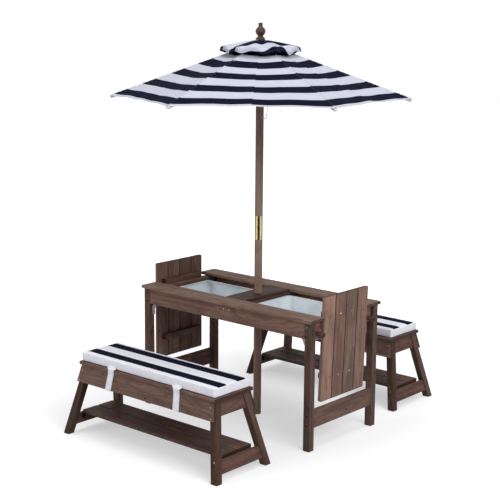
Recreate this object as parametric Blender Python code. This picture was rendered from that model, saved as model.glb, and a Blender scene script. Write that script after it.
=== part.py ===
"""Children's picnic table with two benches, lift-out trays, hang-up lids and a folding parasol.

Metres, +Z up. The origin is on the floor under the parasol pole, +X along the table to the right,
+Y away from the viewer.
"""

import math

import bmesh
import bpy
from mathutils import Vector

# Stock and clearances
BOARD = 0.0135
GAP = 0.0003
EMBED = 0.001
OVERRUN = 0.004
EDGE_ROUND = 0.0016
TOP_ROUND = 0.003

# Table top
TABLE_HEIGHT = 0.511
TOP_LENGTH = 0.895
TOP_WIDTH = 0.445
PLANK_WIDTH = 0.0845
CENTRE_BOARD_WIDTH = 0.103

# Table frame
TABLE_LEG = 0.030
TOP_END_OVERHANG = 0.0075
TOP_SIDE_OVERHANG = 0.0095
TABLE_APRON = 0.063
APRON_INSET = 0.002
LID_RECESS = 0.0135
BEAM_HEIGHT = 0.056
STRETCHER_HEIGHT = 0.072
STRETCHER_INSET = 0.0015

# Ledges that carry the trays
LEDGE_DROP = 0.012
LEDGE_HEIGHT = 0.012
LEDGE_LENGTH = 0.250
BEAM_LEDGE = 0.0095
END_LEDGE = 0.018

# Pegs on the end aprons
PEG_DIAMETER = 0.019
PEG_LENGTH = 0.036
PEG_INSET = 0.023
PEG_DROP = 0.048

# Corner braces of galvanised strip
BRACE_WIDTH = 0.016
BRACE_THICKNESS = 0.0015
BRACE_REACH = 0.036
BRACE_RISE = 0.016
BRACE_FALL = 0.049
BRACE_TAB = 0.016

# Lids of four boards on two battens
LID_SIDE_PLAY = 0.00125
LID_OVERHANG = 0.014
LID_FOOT_CLEAR = 0.016
LID_BOARD_COUNT = 4
LID_JOINT = 0.0015
BATTEN_WIDTH = 0.022
BATTEN_DEPTH = 0.026
BATTEN_LENGTH = 0.215
BATTEN_SPREAD = 0.240
RIGHT_LID_LEAN = math.radians(2.0)
LEFT_LID_LEAN = math.radians(0.0)
RIGHT_LID_STANDOFF = 0.0003
LEFT_LID_STANDOFF = 0.015

# Trays
TRAY_PLAY = 0.0015
TRAY_END_PLAY = 0.013
TRAY_WIDTH = 0.262
TRAY_FLANGE = 0.009
TRAY_WALL = 0.002
TRAY_DEPTH = 0.080
TRAY_DRAFT = 0.007
TRAY_CORNER = 0.020

# Parasol pole
POLE_DIAMETER = 0.032
POLE_PLAY = 0.0008
POLE_JOINT = 0.790
LOWER_FERRULE = 0.060
UPPER_FERRULE = 0.035
FERRULE_WALL = 0.0014
SPIGOT_LENGTH = 0.028
SPIGOT_PLAY = 0.0004
LOWER_TENON = 0.026

# Parasol mechanism
CROWN_PIVOT_HEIGHT = 1.494
HUB_BORE_PLAY = 0.0006
HUB_CORE = 0.0025
CROWN_DIAMETER = 0.060
CROWN_BELOW = 0.011
CROWN_TOP_CLEAR = 0.003
POLE_ABOVE_CROWN = 0.023
RIB_COUNT = 6
RIB_TURN = math.radians(37.2)
RIB_DROOP = math.radians(20.0)
RIB_LENGTH = 0.600
RIB_WIDTH = 0.010
RIB_HEIGHT = 0.011
RIB_TAPER = 0.004
LUG_DROP = 0.0105
LUG_LENGTH = 0.018
STRUT_WIDTH = 0.005
STRUT_HEIGHT = 0.0084
SLOT_PLAY = 0.0008
RUNNER_FLANGE_DIAMETER = 0.060
RUNNER_BODY_DIAMETER = 0.055
RUNNER_FLANGE_HEIGHT = 0.013
RUNNER_PIVOT_RISE = 0.0255
RUNNER_HEIGHT = 0.040

# Locking pin and its chain
PIN_HEIGHT = 1.2695
PIN_DIAMETER = 0.005
PIN_HOLE_PLAY = 0.0003
PIN_LEFT = 0.058
RING_CLEAR = 0.0008
RING_DIAMETER = 0.013
RING_WIRE = 0.0022
CHAIN_DROP = 0.057
CHAIN_BEAD = 0.0036
CHAIN_NECK = 0.0018
CHAIN_PITCH = 0.0048
EYE_DROP = 0.0515
CHAIN_SWING = 0.020

# Canopy cloth
CLOTH = 0.0018
CLOTH_CLEAR = 0.0020
CANOPY_OVERHANG = 0.005
CANOPY_SAG = 0.007
CANOPY_HOLE = 0.0192
VENT_RADIUS = 0.158
VENT_CORNER_DROP = 0.0365
VENT_MIDDLE_HANG = 0.010
VENT_WAVE = 0.0045
VENT_WAVES = 3

# Finial
FINIAL_HEIGHT = 0.0645
FINIAL_DIAMETER = 0.039

# Benches
BENCH_DISTANCE = 0.218
SEAT_HEIGHT = 0.294
SEAT_LENGTH = 0.709
SEAT_WIDTH = 0.201
BENCH_LEG = 0.029
SEAT_END_OVERHANG = 0.008
SEAT_SIDE_OVERHANG = 0.0005
BENCH_RAKE = math.radians(12.15)
BENCH_APRON = 0.066
BENCH_END_APRON = 0.056
BENCH_END_INSET = 0.004
SHELF_STRETCHER_BASE = 0.030
SHELF_STRETCHER = 0.045
SHELF_BOARD_COUNT = 2
SHELF_BOARD_WIDTH = 0.0765
SHELF_JOINT = 0.003

# Cushions and their straps
CUSHION_END_SETBACK = 0.002
CUSHION_SIDE_SETBACK = 0.006
CUSHION_SIDE_HEIGHT = 0.029
CUSHION_CROWN = 0.004
CUSHION_BULGE = 0.0015
CUSHION_DRAW = 0.0025
CUSHION_CORNER = 0.014
CUSHION_FOOT_ROUND = 0.003
CUSHION_EDGE_ROUND = 0.007
STRAP_WIDTH = 0.031
STRAP_THICKNESS = 0.0015
STRAP_SPREAD = 0.350
STRAP_RISE = 0.008

# Facet counts
ROUND_SIDES = 32
PEG_SIDES = 20
GORE_SIDES = 8
VENT_SIDES = 12
CORNER_SIDES = 4
SEAM_SIDES = 10

# Places worked out from the sizes above
TABLE_SPREAD_X = TOP_LENGTH - 2 * TOP_END_OVERHANG
TABLE_SPREAD_Y = TOP_WIDTH - 2 * TOP_SIDE_OVERHANG
TOP_UNDERSIDE = TABLE_HEIGHT - BOARD
FRAME_TOP = TOP_UNDERSIDE - GAP
APRON_OUTER_Y = TABLE_SPREAD_Y / 2 - APRON_INSET
APRON_INNER_Y = APRON_OUTER_Y - BOARD
END_APRON_OUTER_X = TABLE_SPREAD_X / 2 - LID_RECESS
END_APRON_INNER_X = END_APRON_OUTER_X - BOARD
LEG_INNER_X = TABLE_SPREAD_X / 2 - TABLE_LEG
LEG_INNER_Y = TABLE_SPREAD_Y / 2 - TABLE_LEG
OPENING_HALF_Y = TOP_WIDTH / 2 - PLANK_WIDTH
LEDGE_TOP = FRAME_TOP - LEDGE_DROP
LID_LENGTH = (TOP_LENGTH - CENTRE_BOARD_WIDTH) / 2 + LID_OVERHANG
LID_WIDTH = 2 * (OPENING_HALF_Y - LID_SIDE_PLAY)
LID_HOOK_HEIGHT = FRAME_TOP + GAP
LID_MIDDLE = (BATTEN_WIDTH - BATTEN_SPREAD - LID_OVERHANG) / 2
LID_FOOT_HEIGHT = LID_HOOK_HEIGHT + LID_MIDDLE - LID_LENGTH / 2
STRETCHER_TOP = LID_FOOT_HEIGHT - LID_FOOT_CLEAR
STRETCHER_BASE = STRETCHER_TOP - STRETCHER_HEIGHT
POLE_RADIUS = POLE_DIAMETER / 2
HUB_BORE = POLE_RADIUS + HUB_BORE_PLAY
SLOT_FLOOR = HUB_BORE + HUB_CORE
PIVOT_RADIUS = SLOT_FLOOR + RIB_HEIGHT / 2 + SLOT_PLAY / 2
RUNNER_BOTTOM = PIN_HEIGHT + PIN_DIAMETER / 2 + GAP
RUNNER_PIVOT_HEIGHT = RUNNER_BOTTOM + RUNNER_PIVOT_RISE
POLE_TOP = CROWN_PIVOT_HEIGHT + POLE_ABOVE_CROWN
PIN_RIGHT = RUNNER_FLANGE_DIAMETER / 2 + RING_CLEAR + RING_WIRE / 2
RING_CENTRE_X = PIN_RIGHT + RING_DIAMETER / 2
HALF_LINK_DROP = (CROWN_PIVOT_HEIGHT - RUNNER_PIVOT_HEIGHT) / 2
LUG_ALONG = (HALF_LINK_DROP - LUG_DROP * math.cos(RIB_DROOP)) / math.sin(RIB_DROOP)
STRUT_LENGTH = math.hypot(LUG_ALONG, LUG_DROP)
STRUT_ANGLE = RIB_DROOP + math.atan2(LUG_DROP, LUG_ALONG)
SEAT_UNDERSIDE = SEAT_HEIGHT - BOARD
BENCH_OFFSET = TOP_WIDTH / 2 + BENCH_DISTANCE + SEAT_WIDTH / 2
BENCH_TOP_SPREAD_X = SEAT_LENGTH - 2 * SEAT_END_OVERHANG
BENCH_TOP_SPREAD_Y = SEAT_WIDTH - 2 * (BOARD + SEAT_SIDE_OVERHANG)
CUSHION_LENGTH = SEAT_LENGTH - 2 * CUSHION_END_SETBACK
CUSHION_WIDTH = SEAT_WIDTH - 2 * CUSHION_SIDE_SETBACK


# Scene and materials


def clear_scene():
    for item in list(bpy.data.objects):
        bpy.data.objects.remove(item)


def finish(name, colour, roughness, metallic=0.0, alpha=1.0):
    material = bpy.data.materials.new(name)
    material.use_nodes = True
    shader = material.node_tree.nodes["Principled BSDF"]
    shader.inputs["Base Color"].default_value = (*colour, 1)
    shader.inputs["Roughness"].default_value = roughness
    shader.inputs["Metallic"].default_value = metallic
    shader.inputs["Alpha"].default_value = alpha
    material.diffuse_color = (*colour, alpha)
    return material


clear_scene()
STAINED_WOOD = finish("stained_wood", (0.105, 0.062, 0.047), 0.62)
POLE_WOOD = finish("pole_wood", (0.190, 0.122, 0.085), 0.5)
BRASS = finish("polished_brass", (0.85, 0.60, 0.25), 0.2, 1.0)
GALVANISED = finish("galvanised_steel", (0.60, 0.61, 0.62), 0.42, 1.0)
TRAY_PLASTIC = finish("translucent_plastic", (0.85, 0.87, 0.90), 0.35, 0.0, 0.8)
CANOPY_CLOTH = finish("navy_white_cloth", (0.75, 0.76, 0.82), 0.9)
CUSHION_CLOTH = finish("cushion_cloth", (0.78, 0.78, 0.84), 0.9)


# Building blocks


def add_object(name, mesh, material, parent=None):
    item = bpy.data.objects.new(name, mesh)
    bpy.context.collection.objects.link(item)
    mesh.materials.append(material)
    if parent is not None:
        item.parent = parent
    return item


def object_from_bmesh(name, form, material, parent=None, smooth=False):
    bmesh.ops.recalc_face_normals(form, faces=form.faces)
    mesh = bpy.data.meshes.new(name)
    form.to_mesh(mesh)
    form.free()
    if smooth:
        mesh.shade_smooth()
        mesh.set_sharp_from_angle(angle=math.radians(35))
    return add_object(name, mesh, material, parent)


def empty(name, place, turn=0.0):
    item = bpy.data.objects.new(name, None)
    item.location = place
    item.rotation_euler = (0, 0, turn)
    bpy.context.collection.objects.link(item)
    return item


def round_edges(item, width, segments=1):
    bevel = item.modifiers.new("rounded_edges", "BEVEL")
    bevel.width = width
    bevel.segments = segments
    bevel.limit_method = "ANGLE"


def as_helper(item):
    item.hide_render = True
    item.display_type = "WIRE"
    return item


def combine(item, other, operation):
    boolean = item.modifiers.new(f"{operation.lower()}_{other.name}", "BOOLEAN")
    boolean.operation = operation
    boolean.solver = "EXACT"
    boolean.object = as_helper(other)


def join(item, *others):
    for other in others:
        combine(item, other, "UNION")
    return item


def cut(item, *others):
    for other in others:
        combine(item, other, "DIFFERENCE")
    return item


def splayed_box(name, bottom, top, heights, material, parent=None, rounding=EDGE_ROUND):
    """A board or leg whose lower and upper ends are the rectangles (x0, x1, y0, y1) at two heights."""
    form = bmesh.new()
    rings = []
    for (x0, x1, y0, y1), z in zip((bottom, top), heights):
        corners = ((x0, y0), (x1, y0), (x1, y1), (x0, y1))
        rings.append([form.verts.new((x, y, z)) for x, y in corners])
    form.faces.new(rings[0])
    form.faces.new(rings[1])
    for k in range(len(rings[0])):
        form.faces.new((rings[0][k - 1], rings[0][k], rings[1][k], rings[1][k - 1]))
    item = object_from_bmesh(name, form, material, parent)
    if rounding:
        round_edges(item, rounding)
    return item


def box(name, low, high, material, parent=None, rounding=EDGE_ROUND):
    rectangle = (low[0], high[0], low[1], high[1])
    return splayed_box(name, rectangle, rectangle, (low[2], high[2]), material, parent, rounding)


def mirrored_span(side, near, far):
    """The lower and higher of two distances from the middle, on the side -1 or +1."""
    return tuple(sorted((side * near, side * far)))


def ringed_form(rings, closed_loop=False):
    """A surface through rings of equally many points: capped at both ends, or joined end to end."""
    form = bmesh.new()
    rows = [[form.verts.new(point) for point in ring] for ring in rings]
    pairs = list(zip(rows, rows[1:]))
    if closed_loop:
        pairs.append((rows[-1], rows[0]))
    for first, second in pairs:
        for k in range(len(first)):
            form.faces.new((first[k - 1], first[k], second[k], second[k - 1]))
    if not closed_loop:
        form.faces.new(rows[0])
        form.faces.new(rows[-1])
    return form


def circle(radius, z, sides, turn=0.0):
    steps = (turn + math.tau * k / sides for k in range(sides))
    return [(radius * math.cos(a), radius * math.sin(a), z) for a in steps]


def turned(name, profile, material, parent=None, sides=ROUND_SIDES, hollow=False):
    """A turned piece: profile lists (radius, height) from one end to the other, or round a hollow wall."""
    form = ringed_form([circle(radius, z, sides) for radius, z in profile], hollow)
    return object_from_bmesh(name, form, material, parent, smooth=True)


def smooth_profile(points, steps):
    """Points on a smooth curve through the given (radius, height) points."""
    padded = [points[0], *points, points[-1]]
    curve = []
    for p0, p1, p2, p3 in zip(padded, padded[1:], padded[2:], padded[3:]):
        for k in range(steps):
            t = k / steps
            weights = (
                (-t + 2 * t * t - t**3) / 2,
                (2 - 5 * t * t + 3 * t**3) / 2,
                (t + 4 * t * t - 3 * t**3) / 2,
                (t**3 - t * t) / 2,
            )
            near = zip(weights, (p0, p1, p2, p3))
            curve.append(tuple(map(sum, zip(*((w * p[0], w * p[1]) for w, p in near)))))
    return [*curve, points[-1]]


def extruded(name, outline, width, material, parent=None):
    """An outline of (x, z) points made width thick, centred on y = 0."""
    form = bmesh.new()
    flat = form.faces.new([form.verts.new((x, -width / 2, z)) for x, z in outline])
    grown = bmesh.ops.extrude_face_region(form, geom=[flat])["geom"]
    moved = [item for item in grown if isinstance(item, bmesh.types.BMVert)]
    bmesh.ops.translate(form, verts=moved, vec=(0, width, 0))
    return object_from_bmesh(name, form, material, parent)


def arc(centre, radius, start, end, steps):
    turns = (start + (end - start) * k / steps for k in range(steps + 1))
    return [(centre[0] + radius * math.cos(a), centre[1] + radius * math.sin(a)) for a in turns]


# Table frame


def table_legs():
    for row, side_y in (("front", -1), ("rear", 1)):
        for end, side_x in (("left", -1), ("right", 1)):
            x = mirrored_span(side_x, LEG_INNER_X, TABLE_SPREAD_X / 2)
            y = mirrored_span(side_y, LEG_INNER_Y, TABLE_SPREAD_Y / 2)
            box(f"table_leg_{row}_{end}", (x[0], y[0], 0), (x[1], y[1], FRAME_TOP), STAINED_WOOD)


def long_aprons():
    reach = LEG_INNER_X - GAP
    for row, side in (("front", -1), ("rear", 1)):
        y = mirrored_span(side, APRON_INNER_Y, APRON_OUTER_Y)
        low = (-reach, y[0], FRAME_TOP - TABLE_APRON)
        box(f"table_apron_{row}", low, (reach, y[1], FRAME_TOP), STAINED_WOOD)


def end_aprons():
    """Each end apron has the tray's ledge glued inside it and two round pegs outside."""
    reach = LEG_INNER_Y - GAP
    peg_height = FRAME_TOP - PEG_DROP
    for end, side in (("left", -1), ("right", 1)):
        x = mirrored_span(side, END_APRON_INNER_X, END_APRON_OUTER_X)
        low = (x[0], -reach, FRAME_TOP - TABLE_APRON)
        apron = box(f"end_apron_{end}", low, (x[1], reach, FRAME_TOP), STAINED_WOOD)
        x = mirrored_span(side, END_APRON_INNER_X - END_LEDGE, END_APRON_INNER_X + EMBED)
        low = (x[0], -LEDGE_LENGTH / 2, LEDGE_TOP - LEDGE_HEIGHT)
        join(apron, box(f"end_ledge_{end}", low, (x[1], LEDGE_LENGTH / 2, LEDGE_TOP), STAINED_WOOD))
        for row, side_y in (("front", -1), ("rear", 1)):
            peg = peg_form(f"peg_{row}_{end}")
            peg.location = (side * END_APRON_OUTER_X, side_y * (LEG_INNER_Y - PEG_INSET), peg_height)
            peg.rotation_euler = (0, side * math.pi / 2, 0)
            join(apron, peg)


def peg_form(name):
    radius = PEG_DIAMETER / 2
    profile = [(radius, -EMBED), (radius, PEG_LENGTH - TOP_ROUND)]
    profile.append((radius - TOP_ROUND, PEG_LENGTH))
    return turned(name, profile, STAINED_WOOD, sides=PEG_SIDES)


def end_stretchers():
    reach = LEG_INNER_Y - GAP
    outer = TABLE_SPREAD_X / 2 - STRETCHER_INSET
    for end, side in (("left", -1), ("right", 1)):
        x = mirrored_span(side, outer - BOARD, outer)
        high = (x[1], reach, STRETCHER_TOP)
        box(f"stretcher_{end}", (x[0], -reach, STRETCHER_BASE), high, STAINED_WOOD)


def cross_beams():
    """The two beams under the centre board, each with the tray's ledge on its outer face."""
    reach = APRON_INNER_Y - GAP
    outer = CENTRE_BOARD_WIDTH / 2
    for end, side in (("left", -1), ("right", 1)):
        x = mirrored_span(side, outer - BOARD, outer)
        low = (x[0], -reach, FRAME_TOP - BEAM_HEIGHT)
        beam = box(f"cross_beam_{end}", low, (x[1], reach, FRAME_TOP), STAINED_WOOD)
        x = mirrored_span(side, outer - EMBED, outer + BEAM_LEDGE)
        low = (x[0], -LEDGE_LENGTH / 2, LEDGE_TOP - LEDGE_HEIGHT)
        join(beam, box(f"beam_ledge_{end}", low, (x[1], LEDGE_LENGTH / 2, LEDGE_TOP), STAINED_WOOD))


def corner_braces():
    """A diagonal strip flat on the back of the long apron, with a tab bent along the leg's inner face."""
    inner = APRON_INNER_Y - GAP
    foot_x = LEG_INNER_X - GAP
    foot_z = FRAME_TOP - TABLE_APRON - BRACE_FALL
    head_x = foot_x - BRACE_REACH
    head_z = FRAME_TOP - TABLE_APRON + BRACE_RISE
    slant = Vector((foot_x - head_x, foot_z - head_z)).normalized() * BRACE_WIDTH
    rise = BRACE_WIDTH * BRACE_WIDTH / abs(slant.x)
    for row, side_y in (("front", -1), ("rear", 1)):
        for end, side_x in (("left", -1), ("right", 1)):
            outline = [(head_x, head_z), (foot_x, foot_z), (foot_x, foot_z + rise)]
            outline.append((head_x - slant.y, head_z + slant.x))
            outline = [(side_x * x, z) for x, z in outline]
            strip = extruded(f"brace_{row}_{end}", outline, BRACE_THICKNESS, GALVANISED)
            strip.location.y = side_y * (inner - BRACE_THICKNESS / 2)
            x = mirrored_span(side_x, foot_x - BRACE_THICKNESS, foot_x)
            y = mirrored_span(side_y, inner - BRACE_TAB, inner)
            low = (x[0], y[0], foot_z)
            tab = box(f"brace_tab_{row}_{end}", low, (x[1], y[1], foot_z + rise), GALVANISED, None, 0)
            join(strip, tab)


def top_boards():
    for row, side in (("front", -1), ("rear", 1)):
        y = mirrored_span(side, OPENING_HALF_Y, TOP_WIDTH / 2)
        low = (-TOP_LENGTH / 2, y[0], TOP_UNDERSIDE)
        plank = box(f"top_plank_{row}", low, (TOP_LENGTH / 2, y[1], TABLE_HEIGHT), STAINED_WOOD, None, 0)
        round_edges(plank, TOP_ROUND, 2)
    half_x = CENTRE_BOARD_WIDTH / 2
    half_y = OPENING_HALF_Y - GAP
    low = (-half_x, -half_y, TOP_UNDERSIDE)
    board = box("centre_board", low, (half_x, half_y, TABLE_HEIGHT), STAINED_WOOD)
    radius = POLE_RADIUS + POLE_PLAY
    profile = [(radius, TOP_UNDERSIDE - OVERRUN), (radius, TABLE_HEIGHT + OVERRUN)]
    cut(board, turned("pole_hole", profile, STAINED_WOOD))


# Lids, hung upright on the end aprons


def hanging_lid(end, side, lean, standoff):
    """Boards outside, battens inside. The upper batten rests on the end apron's top edge."""
    clear_of_apron = TABLE_APRON * math.tan(lean) + standoff
    hook = (side * (END_APRON_OUTER_X + clear_of_apron), 0, LID_HOOK_HEIGHT)
    frame = empty(f"lid_{end}_hook", hook)
    frame.rotation_euler.y = side * lean
    batten_x = mirrored_span(side, -BATTEN_DEPTH, EMBED)
    battens = []
    for place, base in (("upper", 0), ("lower", -BATTEN_SPREAD)):
        low = (batten_x[0], -BATTEN_LENGTH / 2, base)
        high = (batten_x[1], BATTEN_LENGTH / 2, base + BATTEN_WIDTH)
        battens.append(box(f"batten_{place}_{end}", low, high, STAINED_WOOD, frame))
    board_x = mirrored_span(side, 0, BOARD)
    pitch = (LID_WIDTH + LID_JOINT) / LID_BOARD_COUNT
    boards = []
    for k in range(LID_BOARD_COUNT):
        y = k * pitch - LID_WIDTH / 2
        low = (board_x[0], y, LID_MIDDLE - LID_LENGTH / 2)
        high = (board_x[1], y + pitch - LID_JOINT, LID_MIDDLE + LID_LENGTH / 2)
        boards.append(box(f"lid_board_{end}_{k + 1}", low, high, STAINED_WOOD, frame))
    lid = join(battens[0], *boards, battens[1])
    lid.name = f"lid_{end}"


# Trays


CORNERS = ((1, -1, -1), (1, 1, 0), (-1, 1, 1), (-1, -1, 2))
QUARTER = math.pi / 2


def rounded_rectangle(half_x, half_y, radius, z):
    points = []
    for side_x, side_y, quarter in CORNERS:
        centre = (side_x * (half_x - radius), side_y * (half_y - radius))
        turns = arc(centre, radius, quarter * QUARTER, (quarter + 1) * QUARTER, CORNER_SIDES)
        points.extend((x, y, z) for x, y in turns)
    return points


def tray(end, side):
    """A drawn plastic tray that hangs by its flange on the two ledges."""
    inner = CENTRE_BOARD_WIDTH / 2 + TRAY_PLAY
    outer = END_APRON_INNER_X - TRAY_END_PLAY
    half_x = (outer - inner) / 2
    half_y = TRAY_WIDTH / 2
    top = LEDGE_TOP + GAP + TRAY_WALL
    bottom = top - TRAY_DEPTH
    well = TRAY_FLANGE
    sections = (
        (well + TRAY_DRAFT, bottom),
        (well, top - TRAY_WALL),
        (0, top - TRAY_WALL),
        (0, top),
        (well + TRAY_WALL, top),
        (well + TRAY_DRAFT + TRAY_WALL, bottom + TRAY_WALL),
    )
    rings = []
    for inset, z in sections:
        rings.append(rounded_rectangle(half_x - inset, half_y - inset, TRAY_CORNER, z))
    form = ringed_form(rings)
    item = object_from_bmesh(f"tray_{end}", form, TRAY_PLASTIC, smooth=True)
    item.location.x = side * (inner + outer) / 2


# Parasol pole and ferrules


def pole_pieces():
    sleeve_bore = POLE_RADIUS - FERRULE_WALL
    spigot = sleeve_bore - SPIGOT_PLAY
    spigot_bore = spigot - FERRULE_WALL
    lower_end = POLE_JOINT - LOWER_FERRULE
    upper_end = POLE_JOINT + UPPER_FERRULE
    lower_tenon = sleeve_bore - GAP
    upper_tenon = spigot_bore - GAP
    profile = [(POLE_RADIUS - EDGE_ROUND, 0), (POLE_RADIUS, EDGE_ROUND)]
    profile += [(POLE_RADIUS, lower_end - GAP), (lower_tenon, lower_end - GAP)]
    profile.append((lower_tenon, lower_end + LOWER_TENON))
    turned("pole_lower", profile, POLE_WOOD)
    profile = [(sleeve_bore, lower_end), (POLE_RADIUS, lower_end)]
    profile += [(POLE_RADIUS, POLE_JOINT - GAP), (sleeve_bore, POLE_JOINT - GAP)]
    turned("ferrule_lower", profile, BRASS, hollow=True)
    spigot_end = POLE_JOINT - SPIGOT_LENGTH
    profile = [(spigot_bore, spigot_end), (spigot, spigot_end), (spigot, POLE_JOINT)]
    profile += [(POLE_RADIUS, POLE_JOINT), (POLE_RADIUS, upper_end), (spigot_bore, upper_end)]
    turned("ferrule_upper", profile, BRASS, hollow=True)
    profile = [(upper_tenon, spigot_end + GAP), (upper_tenon, upper_end + GAP)]
    profile += [(POLE_RADIUS, upper_end + GAP), (POLE_RADIUS, POLE_TOP)]
    upper = turned("pole_upper", profile, POLE_WOOD)
    radius = PIN_DIAMETER / 2 + PIN_HOLE_PLAY
    bore = [(radius, -POLE_DIAMETER), (radius, POLE_DIAMETER)]
    hole = turned("pin_hole", bore, POLE_WOOD, sides=PEG_SIDES)
    hole.location.z = PIN_HEIGHT
    hole.rotation_euler = (0, math.pi / 2, 0)
    cut(upper, hole)


def finial():
    """A turned knob: flared foot, neck, ball and a short tip."""
    radius_shares = (0.97, 0.93, 0.62, 0.53, 0.80, 1.0, 0.80, 0.46, 0.42, 0.42)
    height_shares = (0.0, 0.07, 0.17, 0.235, 0.33, 0.49, 0.66, 0.77, 0.83, 0.985)
    shares = zip(radius_shares, height_shares)
    outline = [(r * FINIAL_DIAMETER / 2, h * FINIAL_HEIGHT) for r, h in shares]
    profile = smooth_profile(outline, 2)
    profile.append((profile[-1][0] - EDGE_ROUND / 2, FINIAL_HEIGHT))
    item = turned("finial", profile, POLE_WOOD, sides=ROUND_SIDES * 3 // 4)
    item.location.z = POLE_TOP + GAP


# Parasol mechanism


def radial_slots(hub, name, width, low, high, reach):
    """Cuts a slot for each rib or strut, open outward, above and below."""
    low_corner = (SLOT_FLOOR, -width / 2, low - OVERRUN)
    high_corner = (reach + OVERRUN, width / 2, high + OVERRUN)
    for k in range(RIB_COUNT):
        slot = box(f"{name}_slot_{k + 1}", low_corner, high_corner, POLE_WOOD, None, 0)
        slot.rotation_euler.z = rib_azimuth(k)
        cut(hub, slot)


def rib_azimuth(k):
    return RIB_TURN + math.tau * k / RIB_COUNT


def canopy_underside(radius):
    """Height of the cloth's inner face over a rib, at a distance from the pole."""
    rib_top = CROWN_PIVOT_HEIGHT + RIB_HEIGHT / 2 / math.cos(RIB_DROOP) + CLOTH_CLEAR
    return rib_top - (radius - PIVOT_RADIUS) * math.tan(RIB_DROOP)


def crown():
    outer = CROWN_DIAMETER / 2
    low = CROWN_PIVOT_HEIGHT - CROWN_BELOW
    bore = POLE_RADIUS + GAP
    profile = [(bore, low), (outer - EDGE_ROUND, low), (outer, low + EDGE_ROUND)]
    profile.append((outer, canopy_underside(outer) - CROWN_TOP_CLEAR))
    profile.append((bore, canopy_underside(bore) - CROWN_TOP_CLEAR))
    hub = turned("crown", profile, POLE_WOOD, hollow=True)
    radial_slots(hub, "crown", RIB_WIDTH + SLOT_PLAY, low, profile[-1][1], outer)


def runner():
    flange = RUNNER_FLANGE_DIAMETER / 2
    body = RUNNER_BODY_DIAMETER / 2
    low = RUNNER_BOTTOM
    step = low + RUNNER_FLANGE_HEIGHT
    top = low + RUNNER_HEIGHT
    profile = [(HUB_BORE, low), (flange, low), (flange, step), (body, step)]
    profile += [(body, top - EDGE_ROUND), (body - EDGE_ROUND, top), (HUB_BORE, top)]
    hub = turned("runner", profile, POLE_WOOD, hollow=True)
    radial_slots(hub, "runner", STRUT_WIDTH + SLOT_PLAY, low, top, flange)


def ribs_and_struts():
    for k in range(RIB_COUNT):
        azimuth = rib_azimuth(k)
        outward = Vector((math.cos(azimuth), math.sin(azimuth), 0))
        pivot = outward * PIVOT_RADIUS + Vector((0, 0, CROWN_PIVOT_HEIGHT))
        rib = rib_form(f"rib_{k + 1}")
        rib.location = pivot
        rib.rotation_euler = (0, RIB_DROOP, azimuth)
        strut = strut_form(f"strut_{k + 1}")
        along = outward * math.cos(STRUT_ANGLE) + Vector((0, 0, -math.sin(STRUT_ANGLE)))
        strut.location = pivot + along * STRUT_LENGTH
        strut.rotation_euler = (0, math.pi - STRUT_ANGLE, azimuth)


def rib_form(name):
    """A rib along +X from its pivot, tapered under, with a forked lug for its strut."""
    half = RIB_HEIGHT / 2
    outline = arc((0, 0), half, math.pi / 2, math.pi * 3 / 2, 6)
    outline += [(LUG_ALONG + LUG_LENGTH, -half), (RIB_LENGTH, RIB_TAPER - half), (RIB_LENGTH, half)]
    rib = extruded(name, outline, RIB_WIDTH, POLE_WOOD)
    round_end = arc((LUG_ALONG, -LUG_DROP), LUG_LENGTH / 3, math.pi, math.tau, 6)
    top = EMBED - half
    lug_outline = [(LUG_ALONG + LUG_LENGTH / 2, top), (LUG_ALONG - LUG_LENGTH / 2, top), *round_end]
    lug = extruded(f"{name}_lug", lug_outline, RIB_WIDTH, POLE_WOOD)
    fork = STRUT_WIDTH + SLOT_PLAY
    low = (LUG_ALONG - LUG_LENGTH, -fork / 2, -LUG_DROP - LUG_LENGTH)
    slot = box(f"{name}_fork", low, (LUG_ALONG + LUG_LENGTH, fork / 2, -half), POLE_WOOD, None, 0)
    for helper in (lug, slot):
        helper.parent = rib
    join(rib, lug)
    return cut(rib, slot)


def strut_form(name):
    """A strut along +X from its pivot on the rib to its pivot on the runner."""
    half = STRUT_HEIGHT / 2
    outline = arc((0, 0), half, math.pi / 2, math.pi * 3 / 2, 6)
    outline += arc((STRUT_LENGTH, 0), half, -math.pi / 2, math.pi / 2, 6)
    return extruded(name, outline, STRUT_WIDTH, POLE_WOOD)


# Locking pin and chain


def locking_pin():
    """A round pin through the pole under the runner, with a ring at its right end that holds the chain."""
    radius = PIN_DIAMETER / 2
    tip = EDGE_ROUND / 2
    profile = [(radius - tip, -PIN_LEFT), (radius, tip - PIN_LEFT), (radius, PIN_RIGHT)]
    pin = turned("pin_and_chain", profile, GALVANISED, sides=PEG_SIDES)
    pin.location.z = PIN_HEIGHT
    pin.rotation_euler = (0, math.pi / 2, 0)
    turns = [math.tau * k / PEG_SIDES for k in range(PEG_SIDES)]
    rings = []
    for a in turns:
        out = Vector((math.cos(a), 0, math.sin(a)))
        middle = Vector((RING_CENTRE_X, 0, PIN_HEIGHT)) + out * RING_DIAMETER / 2
        rings.append(section(middle, out, Vector((0, 1, 0)), RING_WIRE / 2, 8))
    ring = object_from_bmesh("pin_ring", ringed_form(rings, True), GALVANISED, smooth=True)
    join(pin, ring, pin_chain())


def section(middle, across, up, radius, sides):
    turns = (math.tau * k / sides for k in range(sides))
    return [middle + (across * math.cos(a) + up * math.sin(a)) * radius for a in turns]


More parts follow.
